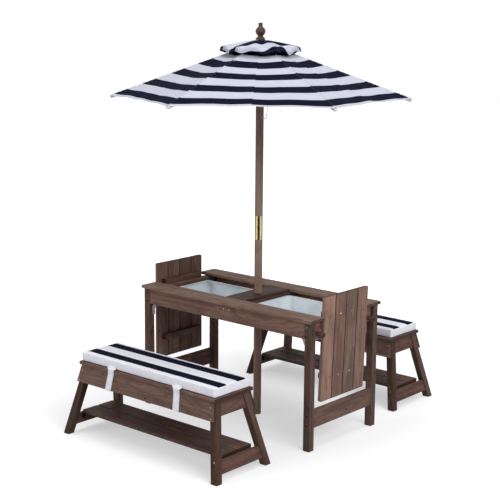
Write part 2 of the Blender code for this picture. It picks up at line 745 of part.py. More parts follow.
def pin_chain():
    """A bead chain from the pin's ring down to its eye in the pole, as one ribbed tube."""
    top = Vector((RING_CENTRE_X, 0, PIN_HEIGHT - RING_DIAMETER / 2))
    eye = Vector((POLE_RADIUS + GAP, 0, PIN_HEIGHT - EYE_DROP))
    eye_neck = eye + Vector((CHAIN_PITCH, 0, 0))
    low = Vector((POLE_RADIUS + CHAIN_SWING / 2, CHAIN_SWING / 4, PIN_HEIGHT - CHAIN_DROP))
    swing = Vector((POLE_RADIUS + CHAIN_SWING, CHAIN_SWING / 8, PIN_HEIGHT - CHAIN_DROP / 2))
    path = smooth_route([top, swing, low, eye_neck, eye], 12)
    length = sum((b - a).length for a, b in zip(path, path[1:]))
    half_beads = 2 * round(length / CHAIN_PITCH)
    rings = []
    for k in range(half_beads + 1):
        middle, direction = along_route(path, length * k / half_beads)
        side = direction.cross(Vector((0, 1, 0))).normalized()
        radius = (CHAIN_BEAD if k % 2 else CHAIN_NECK) / 2
        rings.append(section(middle, side, side.cross(direction), radius, 8))
    return object_from_bmesh("pin_chain", ringed_form(rings), GALVANISED, smooth=True)


def smooth_route(points, steps):
    padded = [points[0], *points, points[-1]]
    route = []
    for p0, p1, p2, p3 in zip(padded, padded[1:], padded[2:], padded[3:]):
        for k in range(steps):
            t = k / steps
            cubic = (3 * p1 - p0 - 3 * p2 + p3) * t**3
            square = (2 * p0 - 5 * p1 + 4 * p2 - p3) * t**2
            route.append((2 * p1 + (p2 - p0) * t + square + cubic) / 2)
    return [*route, points[-1]]


def along_route(path, distance):
    """The point at a distance along a path, and the path's direction there."""
    for a, b in zip(path, path[1:]):
        step = (b - a).length
        if distance <= step and step > 0:
            return a.lerp(b, distance / step), (b - a).normalized()
        distance -= step
    return path[-1], (path[-1] - path[-2]).normalized()


# Canopy

GORE_SHARES = (0.0, 0.08, 0.2, 0.36, 0.52, 0.68, 0.84, 1.0)
SAG_PEAK_SHARE = 0.8
VENT_SHARES = (0.0, 0.2, 0.45, 0.7, 0.87, 1.0)


def gore_ring(corner_radius, corner_z, hang, steps, wave=0.0):
    """A six-sided ring of cloth: straight chords from rib to rib that hang lower between the ribs."""
    points = []
    for k in range(RIB_COUNT):
        a, b = rib_azimuth(k), rib_azimuth(k + 1)
        start = Vector((math.cos(a), math.sin(a), 0)) * corner_radius
        end = Vector((math.cos(b), math.sin(b), 0)) * corner_radius
        for step in range(steps):
            share = step / steps
            point = start.lerp(end, share)
            ripple = wave * math.sin(math.tau * VENT_WAVES * share) * math.sin(math.pi * share)
            point.z = corner_z - hang * 4 * share * (1 - share) + ripple
            points.append(point)
    return points


def canopy():
    """Six gores of cloth that lie on the ribs and sag between them."""
    rim = PIVOT_RADIUS + RIB_LENGTH * math.cos(RIB_DROOP) + CANOPY_OVERHANG
    rings = []
    for shares, lift in ((GORE_SHARES, 0.0), (reversed(GORE_SHARES), CLOTH)):
        for share in shares:
            radius = CANOPY_HOLE + (rim - CANOPY_HOLE) * share
            sag = CANOPY_SAG * math.sin(math.pi * share ** SAG_PEAK_SHARE)
            rings.append(gore_ring(radius, canopy_underside(radius) + lift, sag, GORE_SIDES))
    object_from_bmesh("canopy", ringed_form(rings, True), CANOPY_CLOTH, smooth=True)


def vent_cap():
    """The loose cap over the canopy's top: it rests at the pole and hangs wavy between its corners."""
    top = POLE_TOP - GAP - CLOTH
    rings = []
    for shares, lift in ((VENT_SHARES, 0.0), (reversed(VENT_SHARES), CLOTH)):
        for share in shares:
            radius = CANOPY_HOLE + (VENT_RADIUS - CANOPY_HOLE) * share
            corner_z = top + lift - VENT_CORNER_DROP * share
            hang = VENT_MIDDLE_HANG * share * share
            rings.append(gore_ring(radius, corner_z, hang, VENT_SIDES, VENT_WAVE * share * share))
    object_from_bmesh("vent_cap", ringed_form(rings, True), CANOPY_CLOTH, smooth=True)


# Benches


def splay(z):
    """How far a bench leg has moved outward from its top, at a height."""
    return (SEAT_UNDERSIDE - z) * math.tan(BENCH_RAKE)


def bench_outer_x(z):
    return BENCH_TOP_SPREAD_X / 2 + splay(z)


def bench_outer_y(z):
    return BENCH_TOP_SPREAD_Y / 2 + splay(z)


def bench_ends(name, frame):
    """Each end: two splayed legs and the short apron between them."""
    top = SEAT_UNDERSIDE - GAP
    for end, side_x in (("left", -1), ("right", 1)):
        legs = []
        for row, side_y in (("front", -1), ("rear", 1)):
            rectangles = []
            for z in (0, top):
                x = mirrored_span(side_x, bench_outer_x(z) - BENCH_LEG, bench_outer_x(z))
                y = mirrored_span(side_y, bench_outer_y(z) - BENCH_LEG, bench_outer_y(z))
                rectangles.append((*x, *y))
            leg = splayed_box(f"{name}_leg_{row}_{end}", *rectangles, (0, top), STAINED_WOOD, frame)
            legs.append(leg)
        heights = (top - BENCH_END_APRON, top)
        apron = end_board(f"{name}_end_apron_{end}", side_x, heights, EMBED - BENCH_LEG, frame)
        join(legs[0], apron, legs[1]).name = f"{name}_end_{end}"


def end_board(name, side_x, heights, reach, frame):
    """A board across a bench's end, leaning with the legs. reach is measured from their outer faces."""
    rectangles = []
    for z in heights:
        outer = bench_outer_x(z) - BENCH_END_INSET
        x = mirrored_span(side_x, outer - BOARD, outer)
        y = bench_outer_y(z) + reach
        rectangles.append((*x, -y, y))
    return splayed_box(name, *rectangles, heights, STAINED_WOOD, frame)


def bench_aprons(name, frame):
    """The long aprons, fixed to the outside of the legs and leaning with them."""
    top = SEAT_UNDERSIDE - GAP
    heights = (top - BENCH_APRON, top)
    for row, side_y in (("front", -1), ("rear", 1)):
        rectangles = []
        for z in heights:
            inner = bench_outer_y(z) + GAP
            y = mirrored_span(side_y, inner, inner + BOARD - GAP)
            rectangles.append((-bench_outer_x(z), bench_outer_x(z), *y))
        splayed_box(f"{name}_apron_{row}", *rectangles, heights, STAINED_WOOD, frame)


def bench_shelf(name, frame):
    """Two boards laid on the end stretchers that carry them."""
    top = SHELF_STRETCHER_BASE + SHELF_STRETCHER
    pieces = []
    for end, side_x in (("left", -1), ("right", 1)):
        heights = (SHELF_STRETCHER_BASE, top)
        reach = -BENCH_LEG - GAP
        pieces.append(end_board(f"{name}_shelf_rail_{end}", side_x, heights, reach, frame))
    half_x = bench_outer_x(top) - BENCH_END_INSET
    pitch = SHELF_BOARD_WIDTH + SHELF_JOINT
    first = -(SHELF_BOARD_COUNT * pitch - SHELF_JOINT) / 2
    for k in range(SHELF_BOARD_COUNT):
        y = first + k * pitch
        low = (-half_x, y, top - EMBED)
        high = (half_x, y + SHELF_BOARD_WIDTH, top - EMBED + BOARD)
        pieces.append(box(f"{name}_shelf_board_{k + 1}", low, high, STAINED_WOOD, frame))
    join(*pieces).name = f"{name}_shelf"


CROWN_SHARES = (0.15, 0.4, 0.7, 1.0)


def cushion_ring(inset, z):
    """A rounded rectangle whose long sides draw in between the corners."""
    radius = max(CUSHION_CORNER - inset, GAP)
    half_x = CUSHION_LENGTH / 2 - inset
    half_y = CUSHION_WIDTH / 2 - inset
    points = []
    for side_x, side_y, quarter in CORNERS:
        centre = (side_x * (half_x - radius), side_y * (half_y - radius))
        points.extend(arc(centre, radius, quarter * QUARTER, (quarter + 1) * QUARTER, CORNER_SIDES))
        if side_x != side_y:
            continue
        for k in range(1, SEAM_SIDES):
            along = 1 - 2 * k / SEAM_SIDES
            draw = CUSHION_DRAW * (1 - along * along)
            points.append((side_x * (half_x - radius) * along, side_y * (half_y - draw)))
    return [(x, y, z) for x, y in points]


def cushion_section():
    """(inset, height) from the seam at the foot, up the bulging side, over the edge and across the crown."""
    foot, edge, top = CUSHION_FOOT_ROUND, CUSHION_EDGE_ROUND, CUSHION_SIDE_HEIGHT
    section = [(x, z) for x, z in arc((foot, foot), foot, -QUARTER, -math.pi, 2)]
    section.append((-CUSHION_BULGE, (foot + top - edge) / 2))
    section += arc((edge, top - edge), edge, math.pi, QUARTER, 3)
    reach = CUSHION_WIDTH / 2 - edge - CUSHION_DRAW - CUSHION_CORNER / 2
    for share in CROWN_SHARES:
        section.append((edge + reach * share, top + CUSHION_CROWN * math.sin(QUARTER * share)))
    return section


def cushion(name, frame):
    """A boxed foam cushion with a crowned top, and two straps that pass round the seat and aprons."""
    rings = [cushion_ring(inset, SEAT_HEIGHT + GAP + z) for inset, z in cushion_section()]
    item = object_from_bmesh(f"{name}_cushion", ringed_form(rings), CUSHION_CLOTH, frame, smooth=True)
    for k, side in ((1, -1), (2, 1)):
        join(item, strap(f"{name}_strap_{k}", side * STRAP_SPREAD / 2, frame))


def strap(name, x, frame):
    """A flat band in one loop: down each apron from the cushion's side and across underneath."""
    apron_bottom = SEAT_UNDERSIDE - GAP - BENCH_APRON
    edge_y = SEAT_WIDTH / 2 + GAP
    apron_top_y = bench_outer_y(SEAT_UNDERSIDE) + BOARD + GAP
    apron_low_y = bench_outer_y(apron_bottom) + BOARD + GAP
    shoulder_y = max(edge_y, apron_top_y)
    sewn_y = CUSHION_WIDTH / 2 - STRAP_THICKNESS - CUSHION_DRAW
    sewn_z = SEAT_HEIGHT + STRAP_RISE
    half = [(sewn_y, sewn_z), (shoulder_y, SEAT_HEIGHT), (shoulder_y, SEAT_UNDERSIDE)]
    half.append((apron_low_y, apron_bottom - GAP))
    wall = STRAP_THICKNESS
    outer = [(sewn_y, sewn_z + wall), (shoulder_y + wall, SEAT_HEIGHT + wall)]
    outer += [(shoulder_y + wall, SEAT_UNDERSIDE), (apron_low_y + wall, apron_bottom - GAP - wall)]
    outline = half + [(-y, z) for y, z in reversed(half)]
    outline += [(-y, z) for y, z in outer] + list(reversed(outer))
    form = bmesh.new()
    flat = form.faces.new([form.verts.new((x - STRAP_WIDTH / 2, y, z)) for y, z in outline])
    grown = bmesh.ops.extrude_face_region(form, geom=[flat])["geom"]
    moved = [part for part in grown if isinstance(part, bmesh.types.BMVert)]
    bmesh.ops.translate(form, verts=moved, vec=(STRAP_WIDTH, 0, 0))
    return object_from_bmesh(name, form, CUSHION_CLOTH, frame)


def bench(row, side):
    name = f"bench_{row}"
    frame = empty(name, (0, side * BENCH_OFFSET, 0))
    low = (-SEAT_LENGTH / 2, -SEAT_WIDTH / 2, SEAT_UNDERSIDE)
    box(f"{name}_seat", low, (SEAT_LENGTH / 2, SEAT_WIDTH / 2, SEAT_HEIGHT), STAINED_WOOD, frame)
    bench_ends(name, frame)
    bench_aprons(name, frame)
    bench_shelf(name, frame)
    cushion(name, frame)


def main():
    table_legs()
    long_aprons()
    end_aprons()
    end_stretchers()
    cross_beams()
    corner_braces()
    top_boards()
    hanging_lid("left", -1, LEFT_LID_LEAN, LEFT_LID_STANDOFF)
    hanging_lid("right", 1, RIGHT_LID_LEAN, RIGHT_LID_STANDOFF)
    tray("left", -1)
    tray("right", 1)
    pole_pieces()
    finial()
    crown()
    runner()
    ribs_and_struts()
    locking_pin()
    canopy()
    vent_cap()
    bench("front", -1)
    bench("rear", 1)


main()
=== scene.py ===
"""Looks of the children's picnic table, its two benches and its parasol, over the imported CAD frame.

Metres, +Z up. The origin is on the floor under the parasol pole, +X along the table to the right,
+Y away from the camera.
"""

import math

import bpy
import numpy as np
from mathutils import Euler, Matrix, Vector
from mathutils.bvhtree import BVHTree


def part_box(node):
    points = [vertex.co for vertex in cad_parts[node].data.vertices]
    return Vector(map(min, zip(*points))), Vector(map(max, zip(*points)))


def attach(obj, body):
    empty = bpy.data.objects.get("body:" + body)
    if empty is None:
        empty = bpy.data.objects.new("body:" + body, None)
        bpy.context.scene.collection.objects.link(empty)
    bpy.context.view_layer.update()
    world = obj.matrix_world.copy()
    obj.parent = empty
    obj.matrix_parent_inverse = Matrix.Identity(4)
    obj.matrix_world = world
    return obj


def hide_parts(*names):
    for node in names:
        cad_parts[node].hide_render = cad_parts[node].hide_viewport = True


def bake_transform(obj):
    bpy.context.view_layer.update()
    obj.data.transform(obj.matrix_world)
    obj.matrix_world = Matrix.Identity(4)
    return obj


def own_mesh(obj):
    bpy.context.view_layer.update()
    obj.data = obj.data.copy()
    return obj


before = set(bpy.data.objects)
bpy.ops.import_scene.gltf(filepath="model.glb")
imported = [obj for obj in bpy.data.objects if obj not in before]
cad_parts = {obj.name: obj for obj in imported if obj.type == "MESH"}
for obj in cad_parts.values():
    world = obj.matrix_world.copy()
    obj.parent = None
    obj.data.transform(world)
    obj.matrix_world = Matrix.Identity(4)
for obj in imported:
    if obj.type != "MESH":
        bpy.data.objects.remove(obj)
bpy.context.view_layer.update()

# Camera of the photograph
CAMERA_PLACE = (3.0779, -3.5952, 1.6201)
CAMERA_AZIMUTH = math.radians(40.98)
CAMERA_DROP = math.radians(11.17)
CAMERA_ROLL = math.radians(0.45)
CAMERA_LENS = 86.585
# The ends of the table and of a bench lie along X, their rows along Y
ENDS = (("left", -1), ("right", 1))
ROWS = (("front", -1), ("rear", 1))

# Parasol
RIB_COUNT = 6
FIRST_RIB = math.radians(37.2)
DROOP = math.radians(20.0)
STRUT_ANGLE = math.radians(22.33)
RIB_LENGTH = 0.600
PIVOT_RADIUS = 0.025
PIVOT_HEIGHT = 1.494
CLOTH_OVER_PIVOT = 0.00785
CLOTH = 0.0009
RIM_RADIUS = 0.5938
HOLE_RADIUS = 0.0192
CANOPY_SAG = 0.007
HEM_HOLLOW = 0.009
VENT_RADIUS = 0.158
VENT_TOP = 1.5158
VENT_DROP = 0.026
VENT_RIM = 0.017

# Boards, pegs and fasteners
BOARD = 0.0135
EDGE_ROUND = 0.0012
SCREW_RADIUS = 0.0028
BOLT_RADIUS = 0.0036
HOLE_RING_RADIUS = 0.0044

# Pressed strip of the corner braces: how far it leans from upright and how far apart its ribs are
BRACE_SLANT = math.radians(29.0)
BRACE_RIB = 0.0053

# Benches
BENCH_OFFSET = 0.541
BENCH_RAKE = math.radians(12.15)
SEAT_OVERHANG = 0.0028
SEAT_TOP = 0.294

# Selecting and shaping


def deselect():
    for item in bpy.context.selected_objects:
        item.select_set(False)


def activate(item):
    deselect()
    item.select_set(True)
    bpy.context.view_layer.objects.active = item


def edit(item, mode="FACE"):
    activate(item)
    bpy.ops.object.mode_set(mode="EDIT")
    bpy.ops.mesh.select_mode(type=mode)


def leave_edit():
    bpy.ops.object.mode_set(mode="OBJECT")


def pick(item, kind, test):
    """Selects the faces, edges or vertices that pass a test, from object mode, and goes to edit mode."""
    activate(item)
    mesh = item.data
    for part in (*mesh.polygons, *mesh.edges, *mesh.vertices):
        part.select = False
    chosen = {"FACE": mesh.polygons, "EDGE": mesh.edges, "VERT": mesh.vertices}[kind]
    for part in chosen:
        part.select = bool(test(part))
    bpy.ops.object.mode_set(mode="EDIT")
    bpy.ops.mesh.select_mode(type=kind)


def reshape(item, kind, test, operation, **settings):
    """Runs one operation of edit mode on the faces, edges or vertices that pass a test."""
    pick(item, kind, test)
    operation(**settings)
    leave_edit()


def apply_modifier(item, kind, **settings):
    activate(item)
    modifier = item.modifiers.new(kind.lower(), kind)
    for name, value in settings.items():
        setattr(modifier, name, value)
    bpy.ops.object.modifier_apply(modifier=modifier.name)


def settle(item):
    """Puts the object at the origin, unturned, with its place in its mesh."""
    activate(item)
    bpy.ops.object.transform_apply(location=True, rotation=True, scale=True)


def named(item, name, material=None):
    item.name = name
    item.data.name = name
    if material is not None:
        item.data.materials.clear()
        item.data.materials.append(material)
    return item


def smooth(item, angle=35.0):
    activate(item)
    bpy.ops.object.shade_smooth_by_angle(angle=math.radians(angle))


def joined(items, name):
    activate(items[0])
    for item in items[1:]:
        item.select_set(True)
    bpy.ops.object.join()
    return named(items[0], name)


def copied(item, name):
    twin = item.copy()
    twin.data = item.data.copy()
    twin.name = name
    bpy.context.collection.objects.link(twin)
    return twin


def mesh_object(name, points, faces, material, edges=()):
    mesh = bpy.data.meshes.new(name)
    mesh.from_pydata([tuple(p) for p in points], list(edges), faces)
    item = bpy.data.objects.new(name, mesh)
    bpy.context.collection.objects.link(item)
    mesh.materials.append(material)
    return item


def grid_faces(rows, columns, closed=False):
    """The quads between the points of a grid. In a closed grid the last column joins the first."""
    wide = columns if closed else columns + 1
    return [
        (r * wide + c, (r + 1) * wide + c, (r + 1) * wide + (c + 1) % wide, r * wide + (c + 1) % wide)
        for r in range(rows)
        for c in range(columns)
    ]


def mapped(item, name, places):
    """Gives a mesh a map, one place for each vertex."""
    layer = item.data.uv_layers.new(name=name)
    for loop in item.data.loops:
        layer.data[loop.index].uv = places[loop.vertex_index]


def tube(name, path, radius, material, closed=False, resolution=4):
    """A round rod along a path."""
    curve = bpy.data.curves.new(name, "CURVE")
    curve.dimensions = "3D"
    curve.bevel_depth = radius
    curve.bevel_resolution = resolution
    spline = curve.splines.new("POLY")
    spline.points.add(len(path) - 1)
    spline.use_cyclic_u = closed
    for point, place in zip(spline.points, path):
        point.co = (*place, 1)
    item = bpy.data.objects.new(name, curve)
    bpy.context.collection.objects.link(item)
    activate(item)
    bpy.ops.object.convert(target="MESH")
    return named(item, name, material)


def ends_of(item, edge):
    return [item.data.vertices[v].co for v in edge.vertices]


def stand_in(item, body, replaced):
    """Sets a piece on its body in place of a CAD node."""
    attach(item, body)
    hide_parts(replaced)


# Materials


def colour(code):
    """An sRGB hex colour as linear red, green, blue and alpha."""
    channels = [int(code[k : k + 2], 16) / 255 for k in (0, 2, 4)]
    linear = [c / 12.92 if c <= 0.04045 else ((c + 0.055) / 1.055) ** 2.4 for c in channels]
    return (*linear, 1.0)


def new_material(name, **sockets):
    """A material whose shader has these constants on its own sockets."""
    material = bpy.data.materials.new(name)
    material.use_nodes = True
    shader = material.node_tree.nodes["Principled BSDF"]
    for socket, value in sockets.items():
        shader.inputs[socket.replace("_", " ")].default_value = value
    return material


# Short names of shader nodes: kind, settings, the inputs given in order, and the output, or None for all of them
NODES = {
    "place": ("TexCoord", {}, (), "Object"),
    "normal": ("TexCoord", {}, (), "Normal"),
    "cut_map": ("UVMap", {"uv_map": "cut"}, (), 0),
    "edge_map": ("UVMap", {"uv_map": "edges"}, (), 0),
    "mapping": ("Mapping", {}, ("Vector", "Scale", "Rotation", "Location"), 0),
    "axes": ("SeparateXYZ", {}, ("Vector",), None),
    "noise": ("TexNoise", {}, ("Vector", "Scale", "Detail", "Roughness"), "Fac"),
    "cell_distance": ("TexVoronoi", {}, ("Vector", "Scale"), "Distance"),
    "cell_colour": ("TexVoronoi", {}, ("Vector", "Scale"), "Color"),
    "red": ("SeparateColor", {}, ("Color",), 0),
    "wave_x": ("TexWave", {"bands_direction": "X"}, ("Vector", "Scale", "Distortion", "Detail"), "Fac"),
    "wave_y": ("TexWave", {"bands_direction": "Y"}, ("Vector", "Scale", "Distortion", "Detail"), "Fac"),
    # From the second input to the third by the first
    "blend": ("Mix", {"data_type": "RGBA"}, (0, 6, 7), 2),
    # From one range to another, held at its ends, with a soft start and stop
    "range": ("MapRange", {"interpolation_type": "SMOOTHSTEP"}, (0, 1, 2, 3, 4), 0),
    "bump": ("Bump", {}, ("Height", "Distance", "Strength", "Normal"), 0),
    "dot": ("VectorMath", {"operation": "DOT_PRODUCT"}, (0, 1), "Value"),
    "length": ("VectorMath", {"operation": "LENGTH"}, (0,), "Value"),
    "rays": ("LightPath", {}, (), None),
    "background": ("Background", {}, ("Color", "Strength"), 0),
    "either_shader": ("MixShader", {}, (0, 1, 2), 0),
    "world_output": ("OutputWorld", {}, ("Surface",), None),
}
for operation in ("absolute", "fract", "sine", "maximum", "subtract", "multiply", "multiply_add"):
    NODES[operation] = ("Math", {"operation": operation.upper()}, (0, 1, 2), 0)


def node(owner, name, *sources):
    """Adds one node and gives its output. A source is a number, a colour, a vector, another node's output or None."""
    kind, settings, sockets, output = NODES[name]
    made = owner.node_tree.nodes.new("ShaderNode" + kind)
    for setting, value in settings.items():
        setattr(made, setting, value)
    for socket, source in zip(sockets, sources):
        if isinstance(source, bpy.types.NodeSocket):
            owner.node_tree.links.new(source, made.inputs[socket])
        elif source is not None:
            made.inputs[socket].default_value = source
    return made.outputs if output is None else made.outputs[output]


def feed(material, **sources):
    """Links outputs to sockets of the material's shader."""
    shader = material.node_tree.nodes["Principled BSDF"]
    for socket, source in sources.items():
        material.node_tree.links.new(source, shader.inputs[socket.replace("_", " ")])


def dimmed(shade, share):
    """A colour at a share of its light."""
    return (*(share * c for c in shade[:3]), 1.0)


# Growth rings 6 to 20 mm apart on the face, fibres about 1.2 mm wide, streaks 14 mm, knots 8 mm across
FIGURE_SCALE = 9.0
RINGS_IN_FIGURE = 14.0
FIBRE_SCALE = 1 / 0.0012
PORE_SCALE = 1 / 0.0021
STREAK_SCALE = 1 / 0.014
BLOTCH_SCALE = 1 / 0.060
KNOT_SCALE = 1 / 0.085
STAINED_TONES = {
    "plank": ("8a6f62", "614a40", "9b7f71", 0.0),
    "lid_light": ("99796b", "6d5548", "ab8b7c", 3.1),
    "plank_cool": ("776359", "55433b", "887063", 1.7),
    "plank_warm": ("8a6c5f", "614a3f", "9d7e70", 3.1),
    "apron": ("7f6257", "573f36", "907266", 4.3),
    "apron_cool": ("6f584e", "4b3931", "80665b", 5.9),
    "leg": ("64493f", "432f28", "735a4e", 7.1),
    "leg_cool": ("5b463e", "3d2d27", "6a554b", 8.3),
    "leg_dark": ("47332a", "2d201a", "544036", 9.7),
}
POLE_TONES = ("8d776b", "685347", "9d8678", 2.3)
FINIAL_TONES = ("5a453b", "3d2d27", "674f45", 5.1)


def wood(name, along, tones, roughness, contrast=1.0):
    """Stained wood, planed: arched figure, streaks, fibres, pores, a few knots, uneven stain and darker sawn ends."""
    middle, dark, light = (colour(code) for code in tones[:3])
    material = new_material(name, Roughness=roughness, Specular_IOR_Level=0.10)
    turn = Vector(along).rotation_difference(Vector((1, 0, 0))).to_euler()
    place = node(material, "place")
    shift = (tones[3], 0.37 * tones[3], 0.61 * tones[3])
    place = node(material, "mapping", place, None, turn, shift)

    def grain(share, scale, detail=2.0, rough=0.5):
        stretched = node(material, "mapping", place, (share, 1, 1))
        return node(material, "noise", stretched, scale, detail, rough)

    spread = node(material, "mapping", place, (0.55, 1, 1))
    knots = node(material, "cell_distance", spread, KNOT_SCALE)
    knot = node(material, "range", knots, 0.062, 0.030)
    swirl = node(material, "range", knots, 0.30, 0.03, 0.0, 1.6)
    figure = node(material, "multiply_add", grain(0.16, FIGURE_SCALE, 1.5), RINGS_IN_FIGURE, swirl)
    rings = node(material, "range", node(material, "fract", figure), 0.45, 0.97, 0.0, 0.42 * contrast)
    fibres = grain(0.02, FIBRE_SCALE, 3.0, 0.6)
    pores = node(material, "range", grain(0.05, PORE_SCALE, 1.0), 0.37, 0.30, 0.0, 0.5 * contrast)
    streaks = node(material, "range", grain(0.035, STREAK_SCALE, 2.0), 0.35, 0.68)
    blotches = grain(0.30, BLOTCH_SCALE, 4.0, 0.55)
    shade = node(material, "blend", streaks, middle, light)
    shade = node(material, "blend", node(material, "range", blotches, 0.58, 0.36, 0.0, 0.35), shade, dark)
    shade = node(material, "blend", rings, shade, dark)
    shade = node(material, "blend", node(material, "range", fibres, 0.50, 0.34, 0.0, 0.4 * contrast), shade, dark)
    shade = node(material, "blend", node(material, "maximum", pores, knot), shade, dimmed(dark, 0.4))
    facing = node(material, "dot", node(material, "normal"), Vector(along).normalized())
    sawn_end = node(material, "range", node(material, "absolute", facing), 0.80, 0.93)
    end_shade = node(material, "blend", node(material, "range", fibres, 0.35, 0.65), dimmed(dark, 0.45), dark)
    shade = node(material, "blend", sawn_end, shade, end_shade)
    relief = node(material, "subtract", fibres, node(material, "multiply", pores, 0.8))
    feed(
        material,
        Base_Color=shade,
        Roughness=node(material, "range", blotches, 0.3, 0.7, roughness - 0.07, roughness + 0.09),
        Normal=node(material, "bump", relief, 0.0003, 0.45),
    )
    return material


STAINED = {}


def stained_fir(grain, tone="plank"):
    """Fir under a dark water stain, planed and satin: brown boards that differ a little, with darker late wood."""
    directions = {"along_x": (1, 0, 0), "along_y": (0, 1, 0), "upright": (0, 0, 1)}
    rake = math.tan(BENCH_RAKE)
    for end, side_x in ENDS:
        for row, side_y in ROWS:
            directions[f"raked_{row}_{end}"] = (side_x * rake, side_y * rake, -1)
    key = f"stained_fir_{grain}_{tone}"
    if key not in STAINED:
        STAINED[key] = wood(key, directions[grain], STAINED_TONES[tone], 0.58)
    return STAINED[key]


def pole_wood(name, along):
    """Close-grained hardwood, turned and stained lighter: smoother than the boards, with fine short streaks."""
    return wood(name, along, POLE_TONES, 0.5, 0.6)


# One over a size in metres: turning marks 22 mm long and 0.6 mm apart, tarnish 8 mm, zinc spangles 4 mm, scuffs and
# moulded grain 1.1 mm, crushed end grain 0.7 mm, flow lines in the plastic 45 mm and felt 1.2 mm
TURNING_SCALE = 45.0
TURNING_SQUEEZE = 40
TARNISH_SCALE = 130.0
SPANGLE_SCALE = 260.0
SCUFF_SCALE = 900.0
END_GRAIN_SCALE = 1400.0
FLOW_SCALE = 22.0
FELT_SCALE = 800.0


def polished_brass():
    """Brass sheet, rolled into ferrules and polished: pale gold metal with faint turning marks round it."""
    material = new_material("polished_brass", Base_Color=colour("a3966b"), Metallic=1.0, Roughness=0.14)
    place = node(material, "place")
    rounds = node(material, "mapping", place, (1, 1, TURNING_SQUEEZE))
    marks = node(material, "noise", rounds, TURNING_SCALE, 3.0)
    tarnish = node(material, "noise", place, TARNISH_SCALE, 4.0)
    shade = node(material, "blend", node(material, "range", tarnish, 0.5, 0.75), colour("ad9f75"), colour("7f6c3f"))
    feed(
        material,
        Base_Color=shade,
        Roughness=node(material, "range", marks, 0.3, 0.7, 0.08, 0.17),
        Normal=node(material, "bump", marks, 0.0001, 0.3),
    )
    return material


def zinc_plate(name="zinc_plated_steel", lit="b9bcc0", dull="8b8f94", roughness=0.36):
    """Pressed steel under bright zinc: cool grey metal with faint mottling."""
    material = new_material(name, Base_Color=colour(lit), Metallic=1.0, Roughness=roughness)
    place = node(material, "place")
    spangle = node(material, "cell_colour", place, SPANGLE_SCALE)
    grey = node(material, "red", spangle)
    scuffs = node(material, "noise", place, SCUFF_SCALE, 3.0)
    feed(
        material,
        Base_Color=node(material, "blend", node(material, "range", grey, 0.0, 1.0), colour(lit), colour(dull)),
        Roughness=node(material, "range", scuffs, 0.3, 0.7, roughness - 0.08, roughness + 0.1),
        Normal=node(material, "bump", scuffs, 0.00008, 0.3),
    )
    return material


def ribbed_strip():
    """Galvanised strip for the corner braces: pale spangled zinc, pressed ribs and small holes, with painted shade in
    both.
    """
    material = zinc_plate("galvanised_ribbed_strip", "e0e0e0", "b9bbbd", 0.5)
    place = node(material, "place")
    x, _, z = node(material, "axes", place)
    out = node(material, "absolute", x)
    slant_x, slant_z = math.sin(BRACE_SLANT), math.cos(BRACE_SLANT)
    across = node(material, "multiply_add", z, slant_x, node(material, "multiply", out, slant_z))
    along = node(material, "multiply_add", z, -slant_z, node(material, "multiply", out, slant_x))
    ribs = node(material, "sine", node(material, "multiply", across, math.tau / BRACE_RIB))
    holes = node(material, "sine", node(material, "multiply", along, math.tau / (2 * BRACE_RIB)))
    hollow = node(material, "range", ribs, 0.2, -0.9)
    holes = node(material, "multiply", hollow, node(material, "range", holes, 0.35, 0.8))
    shader = material.node_tree.nodes["Principled BSDF"]
    spangle = shader.inputs["Base Color"].links[0].from_socket
    # Painted shade: the ribs' hollows are darkened, and the holes are drawn near-black for the shade behind them.
    shade = node(material, "blend", node(material, "multiply", hollow, 0.75), spangle, colour("505254"))
    shade = node(material, "blend", holes, shade, colour("1c1b1a"))
    feed(
        material,
        Base_Color=shade,
        Metallic=node(material, "multiply_add", holes, -0.5, 0.5),
        Normal=node(material, "bump", ribs, 0.0008, 0.8),
    )
    return material


def painted_shade_of_holes():
    """Painted shade in a bored bolt hole, a countersink and a board joint: dark matt end grain in shade."""
    material = new_material("painted_shade_in_holes", Base_Color=colour("120d0b"), Roughness=0.95)
    place = node(material, "place")
    grain = node(material, "noise", place, END_GRAIN_SCALE, 2.0)
    feed(
        material,
        Base_Color=node(material, "blend", grain, colour("0d0908"), colour("1f1613")),
        Normal=node(material, "bump", grain, 0.0002, 0.5),
    )
    return material


def moulded_tray_plastic():
    """Vacuum-formed polypropylene, 2 mm thick: milky, a little see-through, with a soft moulded grain."""
    material = new_material(
        "milky_polypropylene",
        Base_Color=colour("eef2f6"),
        Roughness=0.34,
        Subsurface_Weight=0.25,
        Subsurface_Scale=0.01,
        Transmission_Weight=0.06,
        IOR=1.49,
    )
    place = node(material, "place")
    grain = node(material, "noise", place, SCUFF_SCALE, 3.0)
    flow = node(material, "noise", place, FLOW_SCALE, 3.0)
    cloudy = node(material, "range", flow, 0.35, 0.7)
    feed(
        material,
        Base_Color=node(material, "blend", cloudy, colour("f0f4f8"), colour("e2e8ef")),
        Roughness=node(material, "range", grain, 0.3, 0.7, 0.28, 0.42),
        Normal=node(material, "bump", grain, 0.00006, 0.4),
    )
    return material


NAVY = "10111f"
NAVY_LIT = "1a1c30"
CANOPY_WHITE = ("c9cbd9", "bdc0cf")
CUSHION_WHITE = ("f4f5fc", "ecedf6")
STRAP_WHITE = ("f0f1f8", "e8eaf2")
THREAD = 0.0009
# Slubs 36 mm long and 2.6 mm wide
SLUB_SCALE = 28.0
SLUB_SQUEEZE = 14
STRIPE_BLUR = 0.0004


